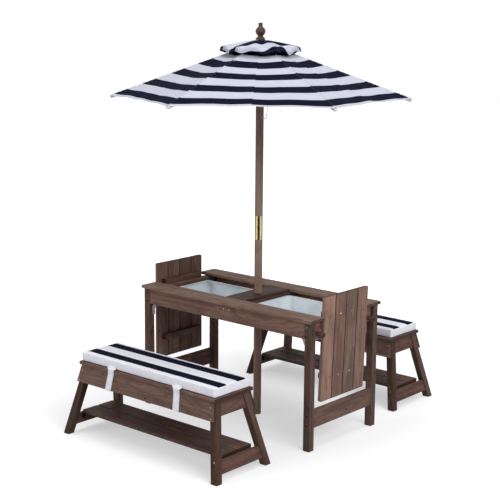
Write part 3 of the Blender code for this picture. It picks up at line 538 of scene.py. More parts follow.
def woven(material, place, stripe, whites, stitches=None, shadow=None):
    """Plain-woven polyester over a stripe mask: threads, slubs and slight creases. Threads are drawn 0.9 mm apart."""
    warp, weft = (node(material, way, place, math.tau / (20 * THREAD), 0.4, 1.0) for way in ("wave_x", "wave_y"))
    threads = node(material, "multiply", warp, weft)
    slubs = node(material, "mapping", place, (1, SLUB_SQUEEZE, 1))
    slubs = node(material, "noise", slubs, SLUB_SCALE, 4.0)
    uneven = node(material, "range", slubs, 0.35, 0.68)
    white = node(material, "blend", uneven, colour(whites[0]), colour(whites[1]))
    navy = node(material, "blend", uneven, colour(NAVY), colour(NAVY_LIT))
    shade = node(material, "blend", stripe, white, navy)
    if stitches is not None:
        shade = node(material, "blend", node(material, "multiply", stitches, 0.3), shade, colour("8286a0"))
        # Painted shade: the cloth is darkened along its seams, where the lapped cloth folds.
        shade = node(material, "blend", shadow, shade, colour("3a3c4d"))
    creases = node(material, "multiply", slubs, 0.6)
    relief = node(material, "bump", threads, 0.00012, 0.35)
    relief = node(material, "bump", creases, 0.0016, 0.35, relief)
    if stitches is not None:
        relief = node(material, "bump", node(material, "subtract", 1.0, stitches), 0.0004, 0.6, relief)
    feed(material, Base_Color=shade, Normal=relief)
    return material


def stepped(material, source, edges, softness):
    """1 between each pair of edges and 0 outside, with a woven edge that is a little soft."""
    total = None
    for low, high in edges:
        rise = node(material, "range", source, low - softness, low + softness)
        fall = node(material, "range", source, high + softness, high - softness)
        band = node(material, "multiply", rise, fall)
        total = band if total is None else node(material, "maximum", total, band)
    return total


def polyester(name):
    """The bare material of the woven covers: matt, with hardly any sheen. Its weave and stripes are added to it."""
    return new_material(name, Roughness=0.9, Specular_IOR_Level=0.02, Sheen_Weight=0.004, Sheen_Roughness=0.5)


SEAM_STITCHES = (0.0044, 0.0052)
HEM_STITCHES = (0.0090, 0.0098)
STITCH_BLUR = 0.0003


def striped_cloth(name, bands):
    """Canopy cloth: woven polyester with navy stripes set by the cut's own map, where V is metres from the top."""
    material = polyester(name)
    flat = node(material, "cut_map")
    _, down, _ = node(material, "axes", flat)
    stripe = stepped(material, down, bands, STRIPE_BLUR)
    edges = node(material, "edge_map")
    seam, hem, _ = node(material, "axes", edges)
    seam_row = stepped(material, seam, (SEAM_STITCHES,), STITCH_BLUR)
    rows = node(material, "maximum", seam_row, stepped(material, hem, (HEM_STITCHES,), STITCH_BLUR))
    # Painted shade along each seam, within 1.2 mm of it and darkest at the seam.
    seam_shade = node(material, "multiply", node(material, "range", seam, 0.0012, 0.0), 0.55)
    return woven(material, flat, stripe, CANOPY_WHITE, stitches=rows, shadow=seam_shade)


def make_materials():
    return {
        "brass": polished_brass(),
        "zinc": zinc_plate(),
        "strip": ribbed_strip(),
        "bolt": zinc_plate("dull_zinc_plated_bolt", "8f9194", "5f6265", 0.42),
        "screw": zinc_plate("passivated_zinc_screw", "cfc3b2", "8f8474", 0.34),
        "finial": wood("turned_finial_wood", (0, 0, 1), FINIAL_TONES, 0.36, 0.5),
        "hole": painted_shade_of_holes(),
        "tray": moulded_tray_plastic(),
        "pole": pole_wood("turned_pole_wood", (0, 0, 1)),
    }


MATERIALS = make_materials()


# Camera, floor and light


def make_camera():
    data = bpy.data.cameras.new("camera")
    camera = bpy.data.objects.new("camera", data)
    bpy.context.collection.objects.link(camera)
    data.lens = CAMERA_LENS
    data.sensor_width = 36
    data.clip_end = 50
    camera.location = CAMERA_PLACE
    turn = Euler((math.pi / 2 - CAMERA_DROP, 0, CAMERA_AZIMUTH))
    roll = Euler((0, 0, CAMERA_ROLL)).to_matrix()
    camera.rotation_euler = (turn.to_matrix() @ roll).to_euler()
    bpy.context.scene.camera = camera


def seen_directly(owner):
    """1 for the rays of the camera, of reflections and through clear pieces, 0 for the light that falls on things."""
    rays = node(owner, "rays")
    seen = node(owner, "maximum", rays["Is Camera Ray"], rays["Is Glossy Ray"])
    return node(owner, "maximum", seen, rays["Is Transmission Ray"])


def make_stage():
    """A pale floor that grows white away from the table, so that it meets the backdrop without an edge."""
    bpy.ops.mesh.primitive_plane_add(size=30, location=(0, 0, 0))
    floor = named(bpy.context.active_object, "studio_floor")
    settle(floor)
    material = new_material("matt_white_floor", Base_Color=colour("c7c7c9"), Roughness=0.95)
    place = node(material, "place")
    distance = node(material, "length", place)
    glow = node(material, "range", distance, 0.6, 2.4, 0.49, 1.0)
    feed(material, Emission_Strength=node(material, "multiply", seen_directly(material), glow))
    material.node_tree.nodes["Principled BSDF"].inputs["Emission Color"].default_value = (1, 1, 1, 1)
    floor.data.materials.append(material)


def make_world():
    """A backdrop that is white to the eye and lights the set only softly."""
    world = bpy.data.worlds.new("soft_studio")
    world.use_nodes = True
    world.node_tree.nodes.clear()
    soft = node(world, "background", (1.0, 0.985, 0.97, 1), 0.22)
    white = node(world, "background", (1, 1, 1, 1), 1.0)
    mixed = node(world, "either_shader", seen_directly(world), soft, white)
    node(world, "world_output", mixed)
    bpy.context.scene.world = world


# Name, place, size in metres and watts
LAMPS = (
    ("front_softbox", (-2.9, -7.6, 4.2), 3.6, 190),
    ("right_softbox", (7.0, -2.0, 5.5), 5.0, 400),
    ("top_softbox", (0.5, 0.4, 10.0), 5.5, 485),
)
LAMP_AIM = Vector((0, 0, 0.6))


def make_lamps():
    for name, place, size, power in LAMPS:
        data = bpy.data.lights.new(name, "AREA")
        data.size = size
        data.energy = power
        lamp = bpy.data.objects.new(name, data)
        bpy.context.collection.objects.link(lamp)
        lamp.location = place
        lamp.rotation_euler = (LAMP_AIM - Vector(place)).to_track_quat("-Z", "Y").to_euler()
    bpy.context.scene.view_settings.view_transform = "Standard"


# Name, degrees round from the camera and width
CARDS = (("front", 0, 2.6), ("left", 128, 2.4), ("right", -128, 2.4))
CARD_DISTANCE = 2.5
CARD_HEIGHT = 1.1


def make_cards():
    """The studio's unlit sides, seen only in reflections: they draw the dark stripe and edges in the brass."""
    material = new_material("black_felt", Base_Color=colour("0c0b0a"), Roughness=0.95)
    weave = node(material, "noise", None, FELT_SCALE, 2.0)
    feed(material, Base_Color=node(material, "blend", weave, colour("090808"), colour("151312")))
    for name, turn, width in CARDS:
        azimuth = CAMERA_AZIMUTH + math.radians(turn)
        away = Vector((math.sin(azimuth), -math.cos(azimuth), 0))
        place = CARD_DISTANCE * away + Vector((0, 0, CARD_HEIGHT / 2))
        bpy.ops.mesh.primitive_plane_add(size=1, location=place)
        card = named(bpy.context.active_object, f"dark_card_{name}", material)
        card.scale = (width, CARD_HEIGHT, 1)
        card.rotation_euler = (math.pi / 2, 0, azimuth)
        settle(card)
        card.visible_camera = card.visible_diffuse = card.visible_transmission = card.visible_shadow = False


make_camera()
make_stage()
make_cards()
make_world()
make_lamps()


# Wood on the CAD's own boards


def finish_node(name, material):
    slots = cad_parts[name].material_slots
    for slot in slots:
        slot.link = "OBJECT"
        slot.material = material
    if not slots:
        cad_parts[name].data.materials.append(material)


def rib_azimuth(k):
    return FIRST_RIB + math.tau * k / RIB_COUNT


def direction_of_rib(k, drop):
    azimuth = rib_azimuth(k)
    return (math.cos(azimuth) * math.cos(drop), math.sin(azimuth) * math.cos(drop), -math.sin(drop))


def finish_frame():
    for row, _ in ROWS:
        for end, tone in (("left", "leg"), ("right", "leg_cool")):
            finish_node(f"table_leg_{row}_{end}", stained_fir("upright", tone))
            finish_node(f"brace_{row}_{end}", MATERIALS["strip"])
        finish_node(f"table_apron_{row}", stained_fir("along_x", "apron"))
        finish_node(f"top_plank_{row}", stained_fir("along_x", "plank"))
        for side, _ in ROWS:
            finish_node(f"bench_{row}_apron_{side}", stained_fir("along_x", "apron_cool"))
    for end, _ in ENDS:
        finish_node(f"end_apron_{end}", stained_fir("along_y", "apron"))
        # The left stretcher takes a darker tone than the right one: painted shade, for the shade under the table on
        # that side.
        finish_node(f"stretcher_{end}", stained_fir("along_y", "leg" if end == "left" else "apron_cool"))
        finish_node(f"cross_beam_{end}", stained_fir("along_y", "leg_cool"))
        finish_node(f"tray_{end}", MATERIALS["tray"])
    finish_node("centre_board", stained_fir("along_y", "leg_dark"))
    for name in ("pole_lower", "pole_upper", "crown", "runner", "finial"):
        finish_node(name, MATERIALS["pole"])
    for name in ("ferrule_lower", "ferrule_upper"):
        finish_node(name, MATERIALS["brass"])
    for k in range(RIB_COUNT):
        along_rib = direction_of_rib(k, DROOP)
        along_strut = direction_of_rib(k, -STRUT_ANGLE)
        finish_node(f"rib_{k + 1}", pole_wood(f"planed_rib_wood_{k + 1}", along_rib))
        finish_node(f"strut_{k + 1}", pole_wood(f"planed_strut_wood_{k + 1}", along_strut))


finish_frame()


# Boards and turned pieces


def board(name, low, high, material, rounding=EDGE_ROUND):
    """A planed board between two corners, its edges eased."""
    low, high = Vector(low), Vector(high)
    deselect()
    bpy.ops.mesh.primitive_cube_add(size=1, location=(low + high) / 2, scale=high - low)
    item = named(bpy.context.active_object, name, material)
    settle(item)
    if rounding:
        apply_modifier(item, "BEVEL", width=rounding, segments=2, limit_method="ANGLE")
    return item


def splayed_board(name, top, bottom, heights, material, rounding=EDGE_ROUND):
    """A board or leg whose lower end is the rectangle bottom and upper end the rectangle top, each (x0, x1, y0, y1)."""
    low, high = (top[0], top[2], heights[0]), (top[1], top[3], heights[1])
    item = board(name, low, high, material, 0)
    pick(item, "VERT", lambda v: v.co.z < (heights[0] + heights[1]) / 2)
    middle = ((top[0] + top[1]) / 2, (top[2] + top[3]) / 2, heights[0])
    ratio = ((bottom[1] - bottom[0]) / (top[1] - top[0]), (bottom[3] - bottom[2]) / (top[3] - top[2]), 1)
    bpy.ops.transform.resize(value=ratio, center_override=middle)
    shift = ((bottom[0] + bottom[1]) / 2 - middle[0], (bottom[2] + bottom[3]) / 2 - middle[1], 0)
    bpy.ops.transform.translate(value=shift)
    leave_edit()
    apply_modifier(item, "BEVEL", width=rounding, segments=2, limit_method="ANGLE")
    return item


def turned(name, profile, material, steps=48, angle=35.0):
    """A piece turned on a lathe about +Z: profile lists (radius, height) from one end of the axis to the other."""
    points = [(radius, 0, height) for radius, height in profile]
    item = mesh_object(name, points, [], material, [(k, k + 1) for k in range(len(points) - 1)])
    edit(item, "VERT")
    bpy.ops.mesh.select_all(action="SELECT")
    bpy.ops.mesh.spin(steps=steps, angle=math.tau, center=(0, 0, 0), axis=(0, 0, 1))
    bpy.ops.mesh.select_all(action="SELECT")
    bpy.ops.mesh.remove_doubles(threshold=0.00001)
    bpy.ops.mesh.normals_make_consistent(inside=False)
    leave_edit()
    smooth(item, angle)
    return item


def moved(item, place=(0, 0, 0), turn=(0, 0, 0)):
    item.location = place
    item.rotation_euler = turn
    settle(item)
    return item


def sided(side, near, far):
    """Two distances to one side of the middle, as low and high."""
    return sorted((side * near, side * far))


def smooth_profile(points, steps):
    """Points on a smooth curve through the given ones."""
    padded = [points[0], *points, points[-1]]
    curve = []
    for p0, p1, p2, p3 in zip(padded, padded[1:], padded[2:], padded[3:]):
        for k in range(steps):
            t = k / steps
            weights = (
                (-t + 2 * t * t - t**3) / 2,
                (2 - 5 * t * t + 3 * t**3) / 2,
                (t + 4 * t * t - 3 * t**3) / 2,
                (t**3 - t * t) / 2,
            )
            curve.append(sum((Vector(p) * w for p, w in zip((p0, p1, p2, p3), weights)), Vector(p0) * 0))
    return [*curve, Vector(points[-1])]


def path_length(path):
    return sum((b - a).length for a, b in zip(path, path[1:]))


# Screws, bolts and bored holes


SCREW_THICKNESS = 0.0011
CROSS_REACH = 0.0018
CROSS_MIDDLE = 0.0011
CROSS_WAIST = 0.42
CROSS_DEPTH = 0.0007


def screw_head():
    """A countersunk screw's flat head with its cross recess, looking along +Z."""
    deselect()
    bpy.ops.mesh.primitive_cylinder_add(vertices=24, radius=SCREW_RADIUS, depth=SCREW_THICKNESS)
    item = named(bpy.context.active_object, "screw_pattern", MATERIALS["screw"])
    settle(item)
    pick(item, "FACE", lambda face: face.normal.z > 0.9)
    bpy.ops.mesh.inset(thickness=0.0005, depth=0.0003)
    bpy.ops.mesh.inset(thickness=0.0006)
    leave_edit()

    def off_cross(v):
        turn = math.degrees(math.atan2(v.co.y, v.co.x)) % 90
        return v.co.z > 0.0006 and math.hypot(v.co.x, v.co.y) < CROSS_REACH and 10 < turn < 80

    def cross(face):
        return face.normal.z > 0.9 and face.center.length < CROSS_MIDDLE and len(face.vertices) > 6

    waist = (CROSS_WAIST, CROSS_WAIST, 1)
    reshape(item, "VERT", off_cross, bpy.ops.transform.resize, value=waist, center_override=(0, 0, 0))
    sunk = {"value": (0, 0, -CROSS_DEPTH)}
    reshape(item, "FACE", cross, bpy.ops.mesh.extrude_region_move, TRANSFORM_OT_translate=sunk)
    smooth(item, 30)
    # The countersink round the head takes the hole material: a near-black ring of painted shade.
    mouth = SCREW_RADIUS + 0.0013
    profile = [(0.0, 0.0002), (SCREW_RADIUS, 0.0002), (mouth, 0.00005), (mouth, -0.0004), (0.0, -0.0004)]
    return joined([item, turned("screw_countersink", profile, MATERIALS["hole"], 24)], "screw_pattern")


SOCKET_RADIUS = 0.0019


def bolt_head():
    """A furniture bolt's low domed head with a hexagon socket, looking along +Z."""
    radius = BOLT_RADIUS
    profile = [(0.0, 0.0009), (SOCKET_RADIUS, 0.0009), (SOCKET_RADIUS, 0.0021), (0.0026, 0.0022)]
    profile += [(radius - 0.0006, 0.0015), (radius, 0.0007), (radius, -0.0005), (0.0, -0.0005)]
    item = turned("bolt_pattern", profile, MATERIALS["bolt"], 24)
    for v in item.data.vertices:
        if abs(math.hypot(v.co.x, v.co.y) - SOCKET_RADIUS) < 0.00005:
            turn = math.atan2(v.co.y, v.co.x) % (math.pi / 3) - math.pi / 6
            shrink = math.cos(math.pi / 6) / math.cos(turn)
            v.co.x, v.co.y = v.co.x * shrink, v.co.y * shrink
    return item


def bored_hole():
    """The mouth of a bolt's bored hole: a thin ring of crushed grain round a sunk middle, all in painted shade."""
    ring = HOLE_RING_RADIUS
    profile = [(0.0, 0.00004), (0.0036, 0.00004), (0.0040, 0.0003), (ring, 0.00004), (ring, -0.0004), (0.0, -0.0004)]
    return turned("hole_pattern", profile, MATERIALS["hole"], 20)


PATTERNS = {"screw": screw_head(), "bolt": bolt_head(), "hole": bored_hole()}


def fasteners(name, body, places):
    """Copies of the patterns set on faces: each place is (pattern, point, direction that it faces)."""
    copies = []
    for k, (pattern, point, facing) in enumerate(places):
        item = copied(PATTERNS[pattern], f"{name}_{k}")
        turn = Euler((0, 0, 0.7 * k)).to_quaternion()
        item.rotation_euler = (Vector(facing).to_track_quat("Z", "Y") @ turn).to_euler()
        item.location = point
        settle(item)
        copies.append(item)
    item = joined(copies, name)
    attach(item, body)


# In the legs' front and rear faces: distance from the middle, height and kind on the left and on the right
LEG_FASTENERS = (
    (0.4185, 0.4814, "hole", "bolt"),
    (0.4185, 0.4454, "hole", "hole"),
    (0.4257, 0.1365, "hole", "hole"),
    (0.4257, 0.1006, "hole", "hole"),
)
# In the legs' outer sides
SIDE_HOLES_Y = 0.204
SIDE_HOLE_HEIGHTS = (0.4705, 0.4555)
# In the long aprons, where the cross beams meet them
APRON_SCREWS_X = (-0.028, 0.002, 0.032)
APRON_SCREWS_HEIGHT = 0.4815


def table_fasteners():
    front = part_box("table_leg_front_right")[0].y
    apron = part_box("table_apron_front")[0].y
    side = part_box("table_leg_front_right")[1].x
    places = []
    for sign_y, facing in ((1, (0, -1, 0)), (-1, (0, 1, 0))):
        for _, sign_x in ENDS:
            for x, z, left_kind, right_kind in LEG_FASTENERS:
                kind = right_kind if sign_x > 0 else left_kind
                places.append((kind, (sign_x * x, sign_y * front, z), facing))
        for x in APRON_SCREWS_X:
            places.append(("screw", (x, sign_y * apron, APRON_SCREWS_HEIGHT), facing))
    for _, sign_x in ENDS:
        for _, sign_y in ROWS:
            for z in SIDE_HOLE_HEIGHTS:
                places.append(("hole", (sign_x * side, sign_y * SIDE_HOLES_Y, z), (sign_x, 0, 0)))
    fasteners("table_screws_and_bolts", "table", places)


table_fasteners()


# Lids

# Side, how far out the hook is, and lean
LIDS = {"left": (-1, 0.4415, 0.0), "right": (1, 0.429, math.radians(2.0))}
# The left lid's boards take darker tones than the right lid's: painted shade, for the table top's shade on that side.
LID_TONES = {
    "left": ("apron", "apron", "apron_cool", "apron_cool"),
    "right": ("lid_light", "apron", "plank_cool", "plank_warm"),
}
LID_HOOK_HEIGHT = 0.4975
LID_HALF_WIDTH = 0.13675
LID_BOTTOM, LID_TOP = -0.321, 0.089
LID_BOARD_WIDTH = 0.0655
LID_PITCH = 0.069333
LID_CORNER = 0.007
LAST_LID_BOARD = 3
TONGUE_LAP = 0.003
TONGUE_SETBACK = 0.0015
BATTEN_HALF_LENGTH = 0.1075
BATTEN_HEIGHT = 0.022
BATTEN_DEPTH = 0.026
BATTENS = (("upper", 0.0), ("lower", -0.240))
LID_SCREWS_Y = (-0.088, -0.034, 0.034, 0.088)
LID_SCREW_HEIGHTS = (0.0095, -0.2325)


def lid_board(name, side, k, tone):
    """One upright board of a lid and its tongue in painted shade. The outer boards have their corners sawn round."""
    y = k * LID_PITCH - LID_HALF_WIDTH
    x = sided(side, 0, BOARD)
    item = board(name, (x[0], y, LID_BOTTOM), (x[1], y + LID_BOARD_WIDTH, LID_TOP), stained_fir("upright", tone), 0)
    if k < LAST_LID_BOARD:
        x = sided(side, 0.04 * BOARD, 0.96 * BOARD)
        low = (x[0], y + LID_BOARD_WIDTH - TONGUE_LAP, LID_BOTTOM + TONGUE_SETBACK)
        high = (x[1], y + LID_PITCH + TONGUE_LAP, LID_TOP - TONGUE_SETBACK)
        # The tongue takes the near-black hole material: painted shade in the open joint between boards.
        tongue = board(f"{name}_tongue", low, high, MATERIALS["hole"], 0)
    outer_y = {0: y, LAST_LID_BOARD: y + LID_BOARD_WIDTH}.get(k)
    if outer_y is not None:

        def corner(edge):
            a, b = ends_of(item, edge)
            return abs(a.x - b.x) > BOARD / 2 and abs(a.y - outer_y) < 0.001

        reshape(item, "EDGE", corner, bpy.ops.mesh.bevel, offset=LID_CORNER, segments=5, affect="EDGES")
    apply_modifier(item, "BEVEL", width=0.0017, segments=2, limit_method="ANGLE", angle_limit=math.radians(40))
    return joined([item, tongue], name) if k < LAST_LID_BOARD else item


def make_lid(end):
    """Four boards screwed to two battens, hung upright by the upper batten on the end apron."""
    side, hook_x, lean = LIDS[end]
    pieces = [lid_board(f"lid_{end}_board_{k + 1}", side, k, tone) for k, tone in enumerate(LID_TONES[end])]
    x = sided(side, -BATTEN_DEPTH, 0.0002)
    for place, base in BATTENS:
        low, high = (x[0], -BATTEN_HALF_LENGTH, base), (x[1], BATTEN_HALF_LENGTH, base + BATTEN_HEIGHT)
        pieces.append(board(f"lid_{end}_batten_{place}", low, high, stained_fir("along_y", "leg"), 0.0015))
    screws = []
    for k, middle in enumerate(LID_SCREWS_Y):
        for z in LID_SCREW_HEIGHTS:
            y = middle + 0.002 * math.sin(5.1 * k + z * 40)
            screw = copied(PATTERNS["screw"], f"lid_{end}_screw")
            screws.append(moved(screw, (side * (BOARD + 0.0001), y, z), (0.4 * k, side * math.pi / 2, 0)))
    pieces.append(joined(screws, f"lid_{end}_screws"))
    for item in pieces:
        moved(item, (side * hook_x, 0, LID_HOOK_HEIGHT), (0, side * lean, 0))
        stand_in(item, f"lid_{end}_body", f"lid_{end}")


for lid_end in LIDS:
    make_lid(lid_end)


# End aprons with their ledges and pegs


END_APRON_X = 0.4265
END_APRON_HEIGHT = 0.063
LEDGE_HALF_LENGTH = 0.125
LEDGE_WIDTH = 0.018
LEDGE_DROPS = (0.024, 0.012)
PEG_Y = 0.160
PEG_DROP = 0.048
PEG_PROFILE = [(0.0, -0.001), (0.0095, -0.001), (0.0095, 0.0325), (0.0088, 0.0347), (0.0070, 0.0358), (0.0, 0.0360)]


def make_end_apron(end, side, peg_wood):
    """The end apron's board, the tray's ledge inside it and the two round pegs outside it."""
    low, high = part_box(f"end_apron_{end}")
    inner = END_APRON_X - BOARD
    x = sided(side, END_APRON_X, inner)
    near, far = (x[0], low.y, high.z - END_APRON_HEIGHT), (x[1], high.y, high.z)
    body = board(f"end_apron_{end}_board", near, far, stained_fir("along_y", "apron"))
    x = sided(side, inner - LEDGE_WIDTH, inner - 0.0001)
    near = (x[0], -LEDGE_HALF_LENGTH, high.z - LEDGE_DROPS[0])
    far = (x[1], LEDGE_HALF_LENGTH, high.z - LEDGE_DROPS[1])
    ledge = board(f"end_apron_{end}_ledge", near, far, stained_fir("along_y", "leg"))
    pegs = []
    for _, row in ROWS:
        peg = turned(f"peg_{end}_{row}", PEG_PROFILE, peg_wood, 32)
        place = (side * END_APRON_X, row * PEG_Y, high.z - PEG_DROP)
        pegs.append(moved(peg, place, (0, side * math.pi / 2, 0)))
    for item in (body, ledge, joined(pegs, f"end_apron_{end}_pegs")):
        stand_in(item, "table", f"end_apron_{end}")


def make_end_aprons():
    peg_wood = wood("turned_peg_fir", (1, 0, 0), STAINED_TONES["leg"], 0.5, 0.8)
    for end, side in ENDS:
        make_end_apron(end, side, peg_wood)


make_end_aprons()


# Trays


TRAY_WALL = 0.002
TRAY_FLANGE = 0.009
TRAY_DRAFT = 0.007
TRAY_CORNER = 0.020
TRAY_FOOT = 0.007


def make_tray(end):
    """A tray drawn from one plastic sheet: drafted walls, rounded corners and foot, and a flat flange."""
    low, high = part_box(f"tray_{end}")
    middle, half = (low + high) / 2, (high - low) / 2
    flange = Vector((TRAY_FLANGE, TRAY_FLANGE, 0))
    wall_x, wall_y = half.x - TRAY_FLANGE, half.y - TRAY_FLANGE
    item = board(f"tray_{end}_shell", low + flange, high - flange, MATERIALS["tray"], 0)

    def upright(edge):
        a, b = ends_of(item, edge)
        return abs(a.z - b.z) > 0.01

    def foot(edge):
        return all(point.z < low.z + 0.001 for point in ends_of(item, edge))

    def rim(edge):
        return all(point.z > high.z - 0.0005 for point in ends_of(item, edge))

    shrink = ((wall_x - TRAY_DRAFT) / wall_x, (wall_y - TRAY_DRAFT) / wall_y, 1)
    base = (middle.x, middle.y, low.z)
    reshape(item, "EDGE", upright, bpy.ops.mesh.bevel, offset=TRAY_CORNER, segments=7, affect="EDGES")
    reshape(item, "FACE", lambda f: f.normal.z < -0.9, bpy.ops.transform.resize, value=shrink, center_override=base)
    reshape(item, "EDGE", foot, bpy.ops.mesh.bevel, offset=TRAY_FOOT, segments=4, affect="EDGES")
    reshape(item, "FACE", lambda f: f.normal.z > 0.9, bpy.ops.mesh.delete, type="ONLY_FACE")
    pick(item, "EDGE", rim)
    bpy.ops.mesh.extrude_edges_move(TRANSFORM_OT_translate={"value": (0, 0, 0)})
    bpy.ops.transform.resize(value=(half.x / wall_x, half.y / wall_y, 1), center_override=(middle.x, middle.y, high.z))
    bpy.ops.mesh.select_mode(type="FACE")
    bpy.ops.mesh.select_all(action="SELECT")
    bpy.ops.mesh.normals_make_consistent(inside=False)
    leave_edit()
    apply_modifier(item, "SOLIDIFY", thickness=TRAY_WALL, offset=-1.0)
    apply_modifier(item, "BEVEL", width=0.0006, segments=2, limit_method="ANGLE", angle_limit=math.radians(50))
    smooth(item, 40)
    stand_in(item, f"tray_{end}_body", f"tray_{end}")


for tray_end, _ in ENDS:
    make_tray(tray_end)


# Finial, locking pin and chain


FINIAL_RADIUS = 0.0195
# Shares of the knob's largest radius and of its height
FINIAL_RADII = (0.97, 0.93, 0.62, 0.53, 0.80, 1.0, 0.80, 0.46, 0.42, 0.42)
FINIAL_HEIGHTS = (0.0, 0.07, 0.17, 0.235, 0.33, 0.49, 0.66, 0.77, 0.83, 0.985)


def make_finial():
    low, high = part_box("finial")
    tall = high.z - low.z
    curve = smooth_profile([(r * FINIAL_RADIUS, h * tall) for r, h in zip(FINIAL_RADII, FINIAL_HEIGHTS)], 5)
    profile = [(0.0, 0.0), *[tuple(p) for p in curve], (curve[-1][0] - 0.0009, tall), (0.0, tall)]
    item = moved(turned("finial_turned_knob", profile, MATERIALS["finial"], 48), (0, 0, low.z))
    stand_in(item, "pole_half_upper", "finial")


POLE_RADIUS = 0.016
PIN_HEIGHT = 1.2695
PIN_RIGHT = 0.0319
RING_RADIUS = 0.0065
RING_X = PIN_RIGHT + RING_RADIUS
# Along the pin from its tip to the head that the ring goes through
PIN_PROFILE = [(0.0, -0.058), (0.0015, -0.058), (0.0023, -0.0574), (0.0025, -0.0566), (0.0025, 0.0305)]
PIN_PROFILE += [(0.0031, 0.0308), (0.0031, 0.0322), (0.0022, 0.0326), (0.0, 0.0326)]
BEAD_RADIUS = 0.0017
BEAD_PITCH = 0.0040
CHAIN_WIRE_RADIUS = 0.0006
CHAIN_EYE = Vector((POLE_RADIUS + 0.0003, 0, PIN_HEIGHT - 0.0515))
CHAIN_START = (RING_X, 0, PIN_HEIGHT - RING_RADIUS)
CHAIN_ROUTE = (
    CHAIN_START,
    (POLE_RADIUS + 0.020, 0.0025, PIN_HEIGHT - 0.0285),
    (POLE_RADIUS + 0.010, 0.005, PIN_HEIGHT - 0.057),
    CHAIN_EYE + Vector((0.0048, 0, 0)),
    CHAIN_EYE,
)
EYE_PROFILE = [(0.0, 0.0), (0.0034, 0.0), (0.0034, 0.0009), (0.0022, 0.0018), (0.0, 0.0020)]


def make_pin():
    """A plated round pin with a split ring; the chain's top link hangs from the ring."""
    pin = moved(turned("pin_rod", PIN_PROFILE, MATERIALS["zinc"], 32), (0, 0, PIN_HEIGHT), (0, math.pi / 2, 0))
    deselect()
    bpy.ops.mesh.primitive_torus_add(
        major_segments=40,
        minor_segments=12,
        major_radius=RING_RADIUS,
        minor_radius=0.0010,
        location=(RING_X, 0, PIN_HEIGHT),
        rotation=(math.pi / 2, 0, 0),
    )
    ring = named(bpy.context.active_object, "pin_split_ring", MATERIALS["zinc"])
    settle(ring)
    smooth(ring, 60)
    stand_in(joined([pin, ring], "locking_pin_and_ring"), "pin", "pin_and_chain")


def make_chain():
    """A ball chain from the ring to its eye in the pole."""
    route = smooth_profile([Vector(p) for p in CHAIN_ROUTE], 16)
    length = path_length(route)
    pitch = length / round(length / BEAD_PITCH)
    deselect()
    bpy.ops.mesh.primitive_uv_sphere_add(segments=12, ring_count=8, radius=BEAD_RADIUS)
    bead = named(bpy.context.active_object, "bead_pattern", MATERIALS["zinc"])
    smooth(bead, 80)
    copies, travelled, wanted = [], 0.0, 0.0
    for a, b in zip(route, route[1:]):
        step = (b - a).length
        while wanted <= travelled + step and step > 0:
            item = copied(bead, f"chain_bead_{len(copies)}")
            copies.append(moved(item, a.lerp(b, (wanted - travelled) / step)))
            wanted += pitch
        travelled += step
    bpy.data.objects.remove(bead)
    copies.append(tube("chain_wire", route, CHAIN_WIRE_RADIUS, MATERIALS["zinc"]))
    item = joined(copies, "pin_ball_chain")
    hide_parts("pin_and_chain")
    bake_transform(item)
    plate = turned("chain_eye_screw", EYE_PROFILE, MATERIALS["zinc"], 24)
    moved(plate, CHAIN_EYE - Vector((0.0006, 0, 0)), (0, math.pi / 2, 0))
    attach(plate, "pole_half_upper")


make_finial()
make_pin()
make_chain()


# Benches


LEG_TOP = 0.2802
SEAT_UNDERSIDE = 0.2805
LEG_WIDTH = 0.029
BENCH_TOP_X = 0.3465
BENCH_TOP_Y = 0.0865
END_APRON_TALL = 0.056
RAIL_BASE, RAIL_TOP = 0.030, 0.075
RAIL_INSET = 0.0293
END_APRON_INSET = 0.0292
END_BOARD_SETBACK = 0.004
SHELF_HALF_WIDTH = 0.078
SHELF_BOARD_WIDTH = 0.075
SHELF_PITCH = 0.081
SHELF_SETBACK = 0.0165
LEDGER_WIDTH = 0.020
LEDGER_SETBACK = 0.0036
# Bottom and top, below the rail's top for the ledger and above it for the shelf
LEDGER_DROPS = (0.021, 0.0012)
SHELF_RISES = (-0.001, 0.0125)
APRON_SCREW_HEIGHTS = (0.261, 0.2225)
APRON_SCREW_INSET = 0.013
# Height, distance in from the end, and kind on the left and on the right
BENCH_LEG_FASTENERS = ((0.0751, 0.0105, "hole", "bolt"), (0.060, 0.0185, "hole", "hole"))


def splay(z):
    return (SEAT_UNDERSIDE - z) * math.tan(BENCH_RAKE)


def bench_x(z):
    """Where a bench's ends are at a height, from its middle."""
    return BENCH_TOP_X + splay(z)


def bench_y(z):
    """Where a bench's long sides are at a height, from its middle."""
    return BENCH_TOP_Y + splay(z)


def end_board(name, side_x, heights, reach, offset, material):
    """A board across a bench's end, leaning with the legs."""
    rectangles = []
    for z in reversed(heights):
        outer = bench_x(z) - END_BOARD_SETBACK
        y = bench_y(z) + reach
        rectangles.append((*sided(side_x, outer - BOARD, outer), offset - y, offset + y))
    return splayed_board(name, *rectangles, heights, material)


def make_bench_end(row, offset, end, side_x):
    """Two splayed legs with the short apron between them, each cut from its own piece."""
    fir = stained_fir("along_y", "leg")
    heights = (LEG_TOP - END_APRON_TALL, LEG_TOP)
    pieces = []
    for leg_row, side_y in ROWS:
        rectangles = []
        for z in (LEG_TOP, 0):
            x = sided(side_x, bench_x(z) - LEG_WIDTH, bench_x(z))
            y = [offset + v for v in sided(side_y, bench_y(z) - LEG_WIDTH, bench_y(z))]
            rectangles.append((*x, *y))
        wood_of_leg = stained_fir(f"raked_{leg_row}_{end}", "leg_dark" if side_y < 0 else "leg_cool")
        name = f"bench_{row}_leg_{leg_row}_{end}"
        pieces.append(splayed_board(name, *rectangles, (0, LEG_TOP), wood_of_leg, 0.0016))
    pieces.append(end_board(f"bench_{row}_end_apron_{end}", side_x, heights, -END_APRON_INSET, offset, fir))
    for item in pieces:
        stand_in(item, f"bench_{row}_body", f"bench_{row}_end_{end}")


